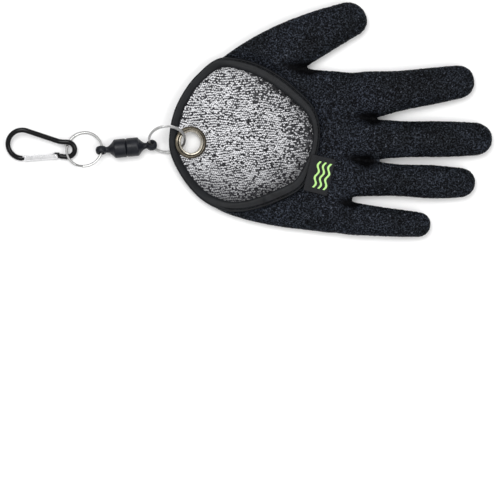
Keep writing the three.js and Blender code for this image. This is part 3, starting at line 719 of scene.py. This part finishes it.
def buildLining(outside):  # the knit on the inside of the hand
    lining = handSkin(glove["liningVoxel"], glove["liningSmoothing"])
    lining.name = "gloveLining"
    cutMouth(lining)
    bm = opened(lining.data)
    bm.normal_update()
    for vert in bm.verts:
        vert.co.z -= sink(vert.co)
        vert.co -= vert.normal * glove["wall"]
        near, normal = outside.find_nearest(vert.co)[:2]
        if (near - vert.co).dot(normal) < glove["wall"] / 2:
            vert.co = near - normal * (glove["wall"] / 2)
    webs = []  # faces that still span the gap between two fingers
    for face in bm.faces:
        spot = face.calc_center_median()
        near, normal = outside.find_nearest(spot)[:2]
        if (near - spot).dot(normal) < 0.1 * mm:
            webs.append(face)
    bmesh.ops.delete(bm, geom=webs, context="FACES")
    bmesh.ops.reverse_faces(bm, faces=bm.faces)
    closeInto(bm, lining)
    finishPiece(lining, ground, slot="knit")


buildLining(buildGlove())


# Knit that shows inside the mouth

knit = {
    "wale": 1.9 * mm, "course": 1.56 * mm, "yarn": 0.41 * mm, "rise": 0.22 * mm,
    "under": 5 * mm,  # it runs on beneath the back
    "halfWales": 34,  # in the half on the little finger's side
    "loose": 0.26 * mm, "slant": 0.44,  # how much a stitch's place and direction vary
    "washerRoom": 11.6 * mm, "above": 12 * mm,
    "runsOn": (0.05, 0.6),  # chance that each leg of a stitch keeps the last tone
    "dark": (0.0, 0.12), "pale": (0.6, 1.0),
    "patchAt": (19.5 * mm, 40.3 * mm), "patchReach": 13 * mm, "cloudSize": 14 * mm,
    "leastDark": 0.08, "mostDark": 0.7,
}


def stitchLeg(way):  # half a stitch, a spindle of yarn
    bm = bmesh.new()
    bmesh.ops.create_uvsphere(bm, u_segments=6, v_segments=4, radius=0.5)
    length = 1.22 * knit["course"]
    for vert in bm.verts:
        vert.co = Vector((vert.co.z * length, vert.co.x * knit["yarn"] * 1.8, vert.co.y * knit["yarn"] * 1.7))
        along = vert.co.x / length
        vert.co.y += way * knit["wale"] * (0.15 + 0.24 * along)
        vert.co.z += knit["rise"] * (1 - 3.2 * along * along)
    return bm


def darkToneAndShadeShare(spot):  # more legs take the dark tone to the right and along the tape, as painted shade where the knit runs under the back layer and the tape; a noise cloud and a patch at patchAt add dark legs too
    across = (spot.x - mouthCentre.x) / (60 * mm)
    edge = max(0, 1 + mouthOffset(spot.x, spot.y) / (30 * mm))
    cloud = noise.noise(spot / knit["cloudSize"])
    away = ((spot - mouthCentre).xy - Vector(knit["patchAt"])).length
    patch = math.exp(-(away / knit["patchReach"]) ** 2)
    share = 0.14 + 0.15 * max(0, across) + 0.18 * edge * (0.4 + across) + 0.26 * cloud * (0.8 + across)
    return min(knit["mostDark"], max(knit["leastDark"], share + 0.32 * patch))


def paintedKnitShade(spot):  # painted shade: darker towards the hand's back, the little finger's side and the tape, where the knit curves down and runs under the back layer and the tape
    right = clamp((spot.x - mouthCentre.x) / (55 * mm))
    low = clamp((mouthCentre.y - 14 * mm - spot.y) / (45 * mm))
    edge = clamp(1 + mouthOffset(spot.x, spot.y) / (16 * mm))
    return 1 - 0.2 * right - 0.62 * low - 0.3 * edge * max(right, low)


def buildKnit(name, fromY, toY):
    bm = stitchLeg(1)
    other = toMesh(stitchLeg(-1), "leg")
    bm.from_mesh(other)
    perStitch = len(bm.verts)
    low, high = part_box("edge_binding")
    courses = int((high.x - low.x + knit["under"]) / knit["course"])
    wales = round((toY - fromY) / knit["wale"])
    sheet = newObject(name, toMesh(bm, name))
    for count, shift in ((courses, (knit["course"], 0, 0)), (wales, (0, knit["wale"], 0))):
        modify(
            sheet, "ARRAY", count=count, use_relative_offset=False, use_constant_offset=True,
            constant_offset_displace=shift,
        )
    total = courses * wales
    points = np.zeros(total * perStitch * 3)
    sheet.data.vertices.foreach_get("co", points)
    points = points.reshape(total, perStitch, 3)
    lining = surfaceOf("knit_liner")
    washer = discPlace("eyelet_washer").translation
    keep = np.zeros(total, bool)
    tones = np.zeros((total, perStitch))
    half = perStitch // 2
    toneNow = 0.5
    for k in range(total):
        wale, course = divmod(k, courses)
        spot = Vector((low.x + course * knit["course"], fromY + wale * knit["wale"], 0))
        spot.x += 0.5 * knit["course"] * noise.noise(spot / (6 * mm)) + (wale % 2) * 0.5 * knit["course"]
        sway = 1.4 * noise.noise(spot / (19 * mm)) + 0.3 * noise.noise(spot / (4 * mm))
        spot.y += knit["wale"] * sway + dice.gauss(0, knit["loose"])
        offset = mouthOffset(spot.x, spot.y)
        beyond = spot.x > mouthCentre.x and offset < knit["under"]
        if offset > 0 and not beyond:
            continue
        if (spot - washer).xy.length < knit["washerRoom"]:
            continue
        hit, normal = lining.ray_cast(Vector((spot.x, spot.y, knit["above"])), -up)[:2]
        if hit is None or normal.z < 0.5:
            continue
        keep[k] = True
        turn = up.rotation_difference(normal).to_matrix()
        jitter = Matrix.Rotation(dice.gauss(0, knit["slant"]), 3, "Z")
        shadow = darkToneAndShadeShare(spot)
        matrix = np.array(turn @ jitter)
        points[k] = (points[k] - points[k].mean(0) * [1, 1, 0]) @ matrix.T + np.array(hit)
        # painted shade multiplies each stitch's tone
        shade = paintedKnitShade(spot)
        for part in range(2):
            if dice.random() > knit["runsOn"][part]:
                toneNow = dice.uniform(*knit["dark" if dice.random() < shadow else "pale"])
            tones[k, part * half:(part + 1) * half] = toneNow * shade
    sheet.data.vertices.foreach_set("co", points.ravel())
    attribute = sheet.data.attributes.new("yarnToneAndShade", "FLOAT", "POINT")
    attribute.data.foreach_set("value", tones.ravel().astype(np.float32))
    bm = opened(sheet.data)
    bm.verts.ensure_lookup_table()
    gone = [vert for k in np.flatnonzero(~keep) for vert in bm.verts[k * perStitch:(k + 1) * perStitch]]
    bmesh.ops.delete(bm, geom=gone, context="VERTS")
    closeInto(bm, sheet)
    finishPiece(sheet, yarn, slot="knit")
    print("knit", int(keep.sum()), "stitches")


edgeLow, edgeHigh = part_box("edge_binding")
halfway = edgeLow.y + knit["halfWales"] * knit["wale"]
buildKnit("knitLittleFingerSide", edgeLow.y, halfway)
buildKnit("knitThumbSide", halfway, edgeHigh.y)
backing = frame["nodes"]["knit_liner"]
backing.data.materials.clear()
backing.data.materials.append(ground)


# Edge binding with its seam


def bindingLine():
    rows = []
    for k in range(binding["steps"]):
        angle, way = wayOf(k)
        inner, outer, height, slope = mouthTable[k]
        middle = mouthCentre + way * (inner + outer) / 2
        middle.z = height
        rows.append({"angle": angle, "way": way, "at": middle, "half": (outer - inner) / 2, "slope": slope})
    for k, row in enumerate(rows):
        along = (rows[(k + 1) % len(rows)]["at"] - rows[k - 1]["at"]).normalized()
        out = Vector((along.y, -along.x, 0)).normalized()
        row["half"] *= abs(out.dot(row["way"]))
        out.z = row["slope"]
        row["out"] = out.normalized()
        row["up"] = along.cross(row["out"]).normalized()
        if row["up"].z < 0:
            row["up"].negate()
        at = (row["at"].x - wrist.x) / glove["palmLength"]
        row["flat"] = clamp((at - binding["foldedFrom"]) / binding["foldedOver"])
    return rows


def tapeTop(share, flat):  # height over the middle, in half thicknesses
    body = max(0, 1 - abs(share) ** 3.2) ** 0.5
    seam = binding["seamDepth"] * math.exp(-(((share - binding["seamAt"]) / binding["seamWidth"]) ** 2))
    ridge = binding["ridge"] * math.exp(-(((share - binding["ridgeAt"]) / binding["ridgeWidth"]) ** 2))
    return body * (1 - flat * 0.1) + flat * (ridge - seam) * (abs(share) < 0.97)


def tapeSpot(row, share, rise):
    return row["at"] + row["out"] * (share * row["half"]) + row["up"] * rise


def buildBinding():
    rows = bindingLine()
    shares = [math.sin(math.radians(a)) for a in range(-90, 91, binding["facet"])]
    thick = binding["thickness"] / 2
    bm = bmesh.new()
    loops = []
    for row in rows:
        join = (row["angle"] - binding["joinAt"]) % (2 * math.pi)
        lap = binding["lap"] if join < binding["lapAngle"] else 0
        made = []
        for share in shares:
            made.append(bm.verts.new(tapeSpot(row, share, tapeTop(share, row["flat"]) * thick + lap)))
        for share in shares[-2:0:-1]:
            made.append(bm.verts.new(tapeSpot(row, share, -max(0, 1 - abs(share) ** 3) ** 0.5 * thick)))
        loops.append([bm.edges.new((made[k - 1], made[k])) for k in range(len(made))])
    for k in range(len(loops)):
        bmesh.ops.bridge_loops(bm, edges=loops[k - 1] + loops[k])
    outward(bm)
    band = toPiece(bm, "bindingTape", tape, ["edge_binding"], "tape")
    buildSeam(rows)
    print("binding", len(band.data.polygons), "faces")


def buildSeam(rows):  # running stitch beside the tape's outer edge
    bm = bmesh.new()
    travelled = 0
    last = None
    seamAt, thin = binding["seamAt"], binding["thread"] / 2
    shape = Matrix.Diagonal((binding["stitch"] / 2, thin, thin, 1))
    for row in rows + rows[:1]:
        rise = tapeTop(seamAt, row["flat"]) * binding["thickness"] / 2 + 0.05 * mm
        here = tapeSpot(row, seamAt, rise)
        if last is not None and row["flat"] > 0.6:
            travelled += (here - last).length
            if travelled > binding["stitchPitch"]:
                travelled = 0
                place = placeOf(here, row["up"], (here - last).normalized())
                bmesh.ops.create_uvsphere(bm, u_segments=10, v_segments=7, radius=1, matrix=place @ shape)
        last = here
    toPiece(bm, "bindingStitches", blackThread, slot="tape")


buildBinding()


# Eyelet

eyelet = {
    "hole": 8.8 * mm, "radius": 13.5 * mm, "metal": 0.7 * mm, "layers": 2.9 * mm, "gap": 0.3 * mm,
    "steps": 96, "teeth": 40,
}


def buildEyelet():
    seat = eyelet["layers"] / 2 + eyelet["gap"]
    hole, radius, metal = eyelet["hole"], eyelet["radius"], eyelet["metal"]
    barrel = hole + metal
    lip = seat + metal + eyelet["gap"]
    middle = placeOf(eyeletPlace.translation, eyeletPlace.col[2].xyz, Vector((1, 0, 0)))
    heights = (pointsOf("eyelet_flange") - np.array(middle.translation)) @ np.array(middle.col[2].xyz)
    middle.translation += middle.col[2].xyz * (heights.max() - lip - 1 * mm)
    flange = turned(
        [
            (hole, -seat), (hole + 0.5 * mm, -seat - 1.3 * mm), ((hole + radius) / 2, -seat - 1.5 * mm),
            (radius - 0.8 * mm, -seat - 0.8 * mm), (radius, -seat), (barrel, -seat), (barrel, lip),
            (barrel + 1.2 * mm, lip), (barrel + 1 * mm, lip + 0.8 * mm), (hole + 0.3 * mm, lip + 1 * mm),
            (hole, lip + 0.3 * mm),
        ],
        eyelet["steps"], 0.22 * mm,
    )
    washer = turned(
        [
            (barrel + eyelet["gap"], seat), (radius, seat), (radius - 0.3 * mm, seat + 0.5 * mm),
            (radius - 1.8 * mm, seat + 1.3 * mm), (barrel + 1.8 * mm, seat + 1.2 * mm),
            (barrel + 1.5 * mm, seat + metal - 0.1 * mm), (barrel + eyelet["gap"], seat + metal - 0.1 * mm),
        ],
        eyelet["steps"], 0.15 * mm,
    )
    for k in range(eyelet["teeth"]):  # small teeth that grip the knit
        turn = Matrix.Rotation(2 * math.pi * k / eyelet["teeth"], 4, "Z")
        tooth = turn @ Matrix.Translation((radius - 0.2 * mm, 0, seat + 0.3 * mm))
        bmesh.ops.create_cone(
            washer, cap_ends=True, segments=4, radius1=0.55 * mm, radius2=0.12 * mm, depth=1.5 * mm,
            matrix=tooth @ Matrix.Rotation(math.pi / 2, 4, "Y"),
        )
    for bm, name, node, finish in (
        (flange, "eyeletFlange", "eyelet_flange", paleNickel),
        (washer, "eyeletWasher", "eyelet_washer", darkNickel),
    ):
        bmesh.ops.transform(bm, matrix=middle, verts=bm.verts)
        toPiece(bm, name, finish, [node], "old_nickel", sharp=50)
    print("eyelet made")


buildEyelet()


# Split rings, two turns of flat wire

splitRing = {"radius": 14.8 * mm, "band": 1.8 * mm, "wire": 1.0 * mm, "pitch": 1.2 * mm, "edge": 0.3 * mm}


def buildSplitRing(node, name, finish):
    place = discPlace(node)
    points = (pointsOf(node) - np.array(place.translation)) @ np.array(place.to_3x3())
    lowest = points[points[:, 2] < points[:, 2].min() + 0.05 * mm]
    ordered = np.sort(np.mod(np.arctan2(lowest[:, 1], lowest[:, 0]), 2 * math.pi))
    gaps = np.diff(np.r_[ordered, ordered[0] + 2 * math.pi])
    start = float(ordered[(int(gaps.argmax()) + 1) % len(ordered)])  # where the lowest turn begins
    half, high = splitRing["band"] / 2, splitRing["wire"] / 2
    bm = profileLoop(
        [(splitRing["radius"] + a, b - splitRing["pitch"] / 2)
         for a, b in ((-half, -high), (half, -high), (half, high), (-half, high))],
        splitRing["edge"], 2,
    )
    bmesh.ops.holes_fill(bm, edges=bm.edges[:], sides=0)
    geometry = bm.faces[:]
    for turn, climb, steps in ((0.93, 0, 84), (0.08, splitRing["pitch"], 10), (0.93, 0, 84)):
        made = bmesh.ops.spin(
            bm, geom=geometry, axis=up, cent=(0, 0, 0), dvec=(0, 0, climb / steps),
            angle=2 * math.pi * turn, steps=steps,
        )
        geometry = [g for g in made["geom_last"] if isinstance(g, bmesh.types.BMFace)]
    outward(bm)
    bmesh.ops.transform(bm, matrix=place @ Matrix.Rotation(start, 4, "Z"), verts=bm.verts)
    toPiece(bm, name, finish, [node], "nickel", sharp=50)


buildSplitRing("split_ring_glove", "splitRingGlove", nickel)
buildSplitRing("split_ring_clip", "splitRingClip", flatNickel)
print("split rings made")


# Magnetic release

release = {
    "radius": 7.8 * mm, "body": 10.6 * mm, "neck": 2.4 * mm, "shoulder": 5 * mm, "eyeAt": 21.4 * mm,
    "hole": 2.6 * mm, "holeShift": 0.35 * mm, "parting": 0.03 * mm,
    "voxel": 0.32 * mm, "smoothing": 4,
}


def buildRelease():
    nodes = ("release_half_glove", "release_half_clip")
    halves = [pointsOf(node) for node in nodes]
    apart = Vector(halves[0].mean(0)) - Vector(halves[1].mean(0))
    along = Vector((apart.x, apart.y, 0)).normalized()
    centre = Vector()
    for way in (along, Vector((-along.y, along.x, 0)), up):
        reach = np.concatenate(halves) @ np.array(way)
        centre += way * ((reach.min() + reach.max()) / 2)
    for node, way, ringNode in zip(nodes, (1, -1), ("split_ring_glove", "split_ring_clip")):
        ring = discPlace(ringNode)
        eyeSpot = centre + along * way * (release["eyeAt"] - release["holeShift"])
        local = ring.inverted() @ eyeSpot
        tangent = (ring.to_3x3() @ Vector((-local.y, local.x, 0))).normalized()
        buildHalf(node, placeOf(centre, along * way, tangent))
    print("release made")


def buildHalf(node, place):
    r, body, neck = release["radius"], release["body"], release["neck"]
    start, top = release["parting"], release["eyeAt"] - 3.2 * mm  # the neck ends inside the eye
    bm = turned(
        [
            (0, start), (r - 0.6 * mm, start), (r - 0.5 * mm, start + 0.35 * mm), (r, start + 0.8 * mm),
            (r, body - 1.3 * mm), (r - 0.35 * mm, body - 0.5 * mm), (r - 1.5 * mm, body + 0.3 * mm),
            (neck + 2.3 * mm, body + 1.9 * mm), (neck + 0.8 * mm, body + 3.4 * mm),
            (neck + 0.1 * mm, body + release["shoulder"]), (neck, top), (0, top),
        ],
        72,
    )
    eye = turned([
        (release["hole"] + 0.75 * mm + 1.3 * mm * math.cos(a), 2.9 * mm * math.sin(a))
        for a in np.radians(range(0, 360, 20))
    ], 56)
    seat = Matrix.Translation((0, 0, release["eyeAt"] - release["holeShift"]))
    bmesh.ops.transform(eye, matrix=seat @ Matrix.Rotation(math.pi / 2, 4, "Y"), verts=eye.verts)
    bm.from_mesh(toMesh(eye, "eye"))
    half = newObject(node + "Body", toMesh(bm, node))
    melt(half, release["voxel"], release["smoothing"])
    half.data.transform(place)
    finishPiece(half, moulded, [node], "moulded")


buildRelease()


# Spring clip: a bent wire and its gate

clip = {
    "length": 59.7 * mm, "wire": 4.2 * mm, "big": 12.2 * mm, "small": 6.4 * mm, "offset": 4.5 * mm,
    "slot": 2.4 * mm, "rivet": 0.8 * mm, "gap": 0.3 * mm, "nose": 0.4 * mm,
    "pivot": (-1.5 * 6.4 * mm, -0.875 * 6.4 * mm),
    "wireEdge": 0.35 * mm, "gateEdge": 0.34 * mm,
}


def clipPlace():  # origin at the small bend's middle, X away from the big bend, Z the gate's axis
    joint = frame["joints"][0]
    axis = -Vector(joint["axis"])
    place = placeOf(Vector(joint["pos_m"]), axis, Vector((1, 0, 0)))
    place.translation = place @ -Vector((*clip["pivot"], 0))
    return place


def arc(x, y, radius, start, end, count):
    return [
        Vector((x + radius * math.cos(a), y + radius * math.sin(a), 0))
        for a in np.radians(np.linspace(start, end, count))
    ]


def clipWire(bigX, pivot):
    line = arc(bigX, clip["offset"], clip["big"], 268, 74, 40)
    knee = Vector((-1.05 * clip["small"], 1.08 * clip["small"], 0))
    bend = line[-1]
    line += [bend.lerp(knee, 0.35), bend.lerp(knee, 0.7), bend.lerp(knee, 0.96), knee]
    line += [Vector((-0.75 * clip["small"], 1.02 * clip["small"], 0))]
    line += arc(0, 0, clip["small"], 92, -92, 24)
    line += [Vector((pivot.x + 3.6 * mm, pivot.y - 0.25 * mm, 0))]
    curve = bpy.data.curves.new("clipWire", "CURVE")
    curve.dimensions = "3D"
    curve.bevel_depth = clip["wire"] / 2
    curve.bevel_resolution = 7
    curve.use_fill_caps = True
    spline = curve.splines.new("NURBS")
    spline.points.add(len(line) - 1)
    for point, spot in zip(spline.points, line):
        point.co = (*spot, 1)
    spline.order_u = 4
    spline.use_endpoint_u = True
    spline.resolution_u = 3
    wire = newObject("clipWire", curve)
    mesh = bpy.data.meshes.new_from_object(wire.evaluated_get(bpy.context.evaluated_depsgraph_get()))
    bpy.data.objects.remove(wire)
    return mesh


def addBlock(bm, at, low, high, half, rounding):  # low and high are measured from at
    low = Vector((at.x + low[0], at.y + low[1], -half))
    high = Vector((at.x + high[0], at.y + high[1], half))
    place = Matrix.Translation((low + high) / 2) @ Matrix.Diagonal((*(high - low), 1))
    block = bmesh.new()
    bmesh.ops.create_cube(block, size=1, matrix=place)
    bevel(block, block.edges[:], rounding, 2)
    bm.from_mesh(toMesh(block, "block"))


def addRod(bm, at, radius, height, rounding):
    rod = bmesh.new()
    bmesh.ops.create_cone(
        rod, cap_ends=True, segments=40, radius1=radius, radius2=radius, depth=height,
        matrix=Matrix.Translation(at),
    )
    bevel(rod, rimsOf(rod), rounding, 2)
    bm.from_mesh(toMesh(rod, "rod"))


def buildClip():
    place = clipPlace()
    bigX = -(clip["length"] - clip["wire"] - clip["big"] - clip["small"])
    pivot = Vector((*clip["pivot"], 0))
    nose = Vector((bigX + clip["nose"], clip["offset"] - clip["big"], 0))
    flat = clip["slot"] / 2 - clip["gap"]
    bm = opened(clipWire(bigX, pivot))
    bmesh.ops.remove_doubles(bm, verts=bm.verts, dist=0.01 * mm)
    bevel(bm, rimsOf(bm), clip["wireEdge"], 3)
    addBlock(bm, pivot, (0, -1.5 * mm), (5.4 * mm, 1.5 * mm), flat, 0.2 * mm)
    addRod(bm, pivot, 1.5 * mm, 2 * flat, 0.2 * mm)
    addBlock(bm, pivot, (-1 * mm, 0.5 * mm), (3.4 * mm, 2.9 * mm), flat, 0.5 * mm)
    addBlock(bm, nose, (-1.5 * mm, -1.25 * mm), (3 * mm, 0.55 * mm), flat, 0.2 * mm)
    bmesh.ops.transform(bm, matrix=place, verts=bm.verts)
    toPiece(bm, "clipFrame", anodised, ["clip_body"], "anodised", sharp=40)
    buildGate(place, pivot)
    print("clip made")


def buildGate(place, pivot):
    bm = mergedCopy("clip_gate")
    bmesh.ops.dissolve_limit(bm, angle_limit=math.radians(4), verts=bm.verts[:], edges=bm.edges[:])
    corner = math.radians(40)
    edges = [edge for edge in bm.edges if len(edge.link_faces) == 2 and edge.calc_face_angle(0) > corner]
    bevel(bm, edges, clip["gateEdge"], 3, clamp_overlap=True)
    rivet = bmesh.new()
    addRod(rivet, pivot, clip["rivet"] * 1.5, clip["wire"] + 0.5 * mm, 0.25 * mm)
    bmesh.ops.transform(rivet, matrix=place, verts=rivet.verts)
    bm.from_mesh(toMesh(rivet, "rivet"))
    toPiece(bm, "clipGate", aluminium, ["clip_gate"], "bare_aluminium", body="gate", sharp=35)


buildClip()


# Label with a plain wave pattern

label = {
    "at": (0.748, -0.221), "heading": -14, "width": 20.5 * mm, "length": 31 * mm, "thickness": 1.0 * mm,
    "layer": 0.42 * mm, "step": 1.4 * mm, "steps": 22,
    "bends": 19.0, "swing": 0.05, "waves": 4.6, "gapShare": 0.62,  # of the pattern
    "patternX": (0.3, 0.92), "patternY": (0.14, 0.86),
}


def calc(tree, operation, first, second=0.5):
    return addNode(tree, "Math", {0: first, 1: second}, operation=operation).outputs[0]


def labelFinish():  # black satin weave, three light green waves
    finish, tree, shader, at = newFinish(
        "wovenLabel", (0.012, 0.012, 0.014), Roughness=0.6, Specular_IOR_Level=0.16
    )
    uv = addNode(tree, "UVMap", uv_map="labelFace").outputs["UV"]
    parts = addNode(tree, "SeparateXYZ", {"Vector": uv})
    x, y = parts.outputs["X"], parts.outputs["Y"]
    bend = calc(tree, "SINE", calc(tree, "MULTIPLY", y, label["bends"]))
    across = calc(tree, "ADD", x, calc(tree, "MULTIPLY", bend, label["swing"]))
    cycle = calc(tree, "FRACT", calc(tree, "MULTIPLY", across, label["waves"]))
    mask = calc(tree, "GREATER_THAN", cycle, label["gapShare"])
    for value, (low, high) in ((x, label["patternX"]), (y, label["patternY"])):
        mask = calc(tree, "MULTIPLY", mask, calc(tree, "GREATER_THAN", value, low))
        mask = calc(tree, "MULTIPLY", mask, calc(tree, "LESS_THAN", value, high))
    threads = noiseAt(tree, at, scale=2100)
    black = shades(tree, threads, 0.35, 0.7, (0.005, 0.0055, 0.0065), (0.015, 0.016, 0.019))
    green = shades(tree, threads, 0.35, 0.7, (0.36, 0.62, 0.18), (0.5, 0.82, 0.3))
    paint(tree, shader, mixColour(tree, mask, black, green))
    addBump(tree, shader, threads, 0.1 * mm, 0.6)
    return finish


def buildLabel():
    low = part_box("label_tab")[0]
    turn = Matrix.Rotation(math.radians(label["heading"]), 4, "Z")
    base = low.z + label["layer"] / 2 + 0.05 * mm
    left, right, step = -label["width"] / 2, label["width"] / 2, label["step"]
    topLift = label["thickness"] - label["layer"]
    line = [  # along the top layer, round the fold and back underneath
        (left, base + step + topLift), (left + 2.5 * mm, base + step + topLift * 0.95),
        (left + 4.8 * mm, base + step * 0.9 + topLift), (left + 7 * mm, base + step * 0.45 + topLift),
        (left + 9.3 * mm, base + step * 0.12 + topLift), (left + 12 * mm, base + topLift),
        (0.3 * right, base + topLift * 1.1), (0.6 * right, base + topLift * 1.12),
        (right - 1 * mm, base + topLift), (right - 0.28 * mm, base + topLift * 0.8),
        (right - 0.2 * mm, base + topLift * 0.45), (right - 0.35 * mm, base + 0.1 * mm),
        (right - 1 * mm, base), (0.5 * right, base), (left + 12 * mm, base),
    ]
    bm = bmesh.new()
    verts = [bm.verts.new((x, -label["length"] / 2, z)) for x, z in line]
    edges = [bm.edges.new(pair) for pair in zip(verts, verts[1:])]
    uv = bm.loops.layers.uv.new("labelFace")
    for _ in range(label["steps"]):
        made = bmesh.ops.extrude_edge_only(bm, edges=edges)["geom"]
        bmesh.ops.translate(
            bm, vec=(0, label["length"] / label["steps"], 0),
            verts=[g for g in made if isinstance(g, bmesh.types.BMVert)],
        )
        edges = [g for g in made if isinstance(g, bmesh.types.BMEdge)]
    for vert in bm.verts:
        vert.co.z += 0.12 * mm * noise.noise(Vector((vert.co.x, vert.co.y, 0)) / (8 * mm)) * (vert.co.x > 0)
    for face in bm.faces:
        for loop in face.loops:
            spot = loop.vert.co
            onTop = spot.z > base + 0.35 * mm  # the pattern is on the top layer alone
            loop[uv].uv = ((spot.x - left) / label["width"] if onTop else 1.0, spot.y / label["length"] + 0.5)
    bmesh.ops.recalc_face_normals(bm, faces=bm.faces)
    upper = [face for face in bm.faces if face.calc_center_median().z > base + topLift * 0.9]
    if sum(face.normal.z for face in upper) < 0:
        bmesh.ops.reverse_faces(bm, faces=bm.faces)
    tab = newObject("labelTab", toMesh(bm, "labelTab"))
    modify(tab, "SOLIDIFY", thickness=label["layer"], offset=0)
    modify(tab, "SUBSURF", levels=1, render_levels=1)
    tab.data.transform(Matrix.Translation(handSpot(*label["at"])) @ turn)
    finishPiece(tab, labelFinish(), ["label_tab"], "woven")
    print("label made")


buildLabel()


# Floor and light


def buildStage():
    bm = bmesh.new()
    bmesh.ops.create_grid(bm, x_segments=1, y_segments=1, size=4)
    floor = newObject("floor", toMesh(bm, "floor"))
    finish, tree, shader, at = newFinish("paleFloor", (0.95, 0.95, 0.95), Roughness=0.9)
    paint(tree, shader, mixColour(tree, noiseAt(tree, at, scale=60), (0.94, 0.94, 0.94), (0.96, 0.96, 0.96)))
    floor.data.materials.append(finish)


def addLamp(name, spot, size, power):
    lamp = bpy.data.lights.new(name, "AREA")
    lamp.shape = "DISK"
    lamp.size = size
    lamp.energy = power
    made = newObject(name, lamp)
    made.location = spot
    made.rotation_euler = (-Vector(spot)).to_track_quat("-Z", "Y").to_euler()


def buildLight():
    world = bpy.data.worlds.new("studio")
    bpy.context.scene.world = world
    world.use_nodes = True
    tree = world.node_tree
    background = tree.nodes["Background"].inputs
    around = addNode(tree, "TexCoord").outputs["Generated"]
    height = addNode(tree, "SeparateXYZ", {"Vector": around}).outputs["Z"]
    sky = shades(tree, height, 0.05, 0.85, (0.23, 0.23, 0.24), (1, 1, 1))  # darker at the sides
    tree.links.new(sky, background["Color"])
    background["Strength"].default_value = 0.85
    addLamp("key", (-0.35, 0.55, 1.9), size=1.1, power=20)
    addLamp("fill", (0.8, -0.5, 1.5), size=0.9, power=8)
    view = bpy.context.scene.view_settings
    view.view_transform = "Standard"
    view.look = "None"


buildStage()
buildLight()
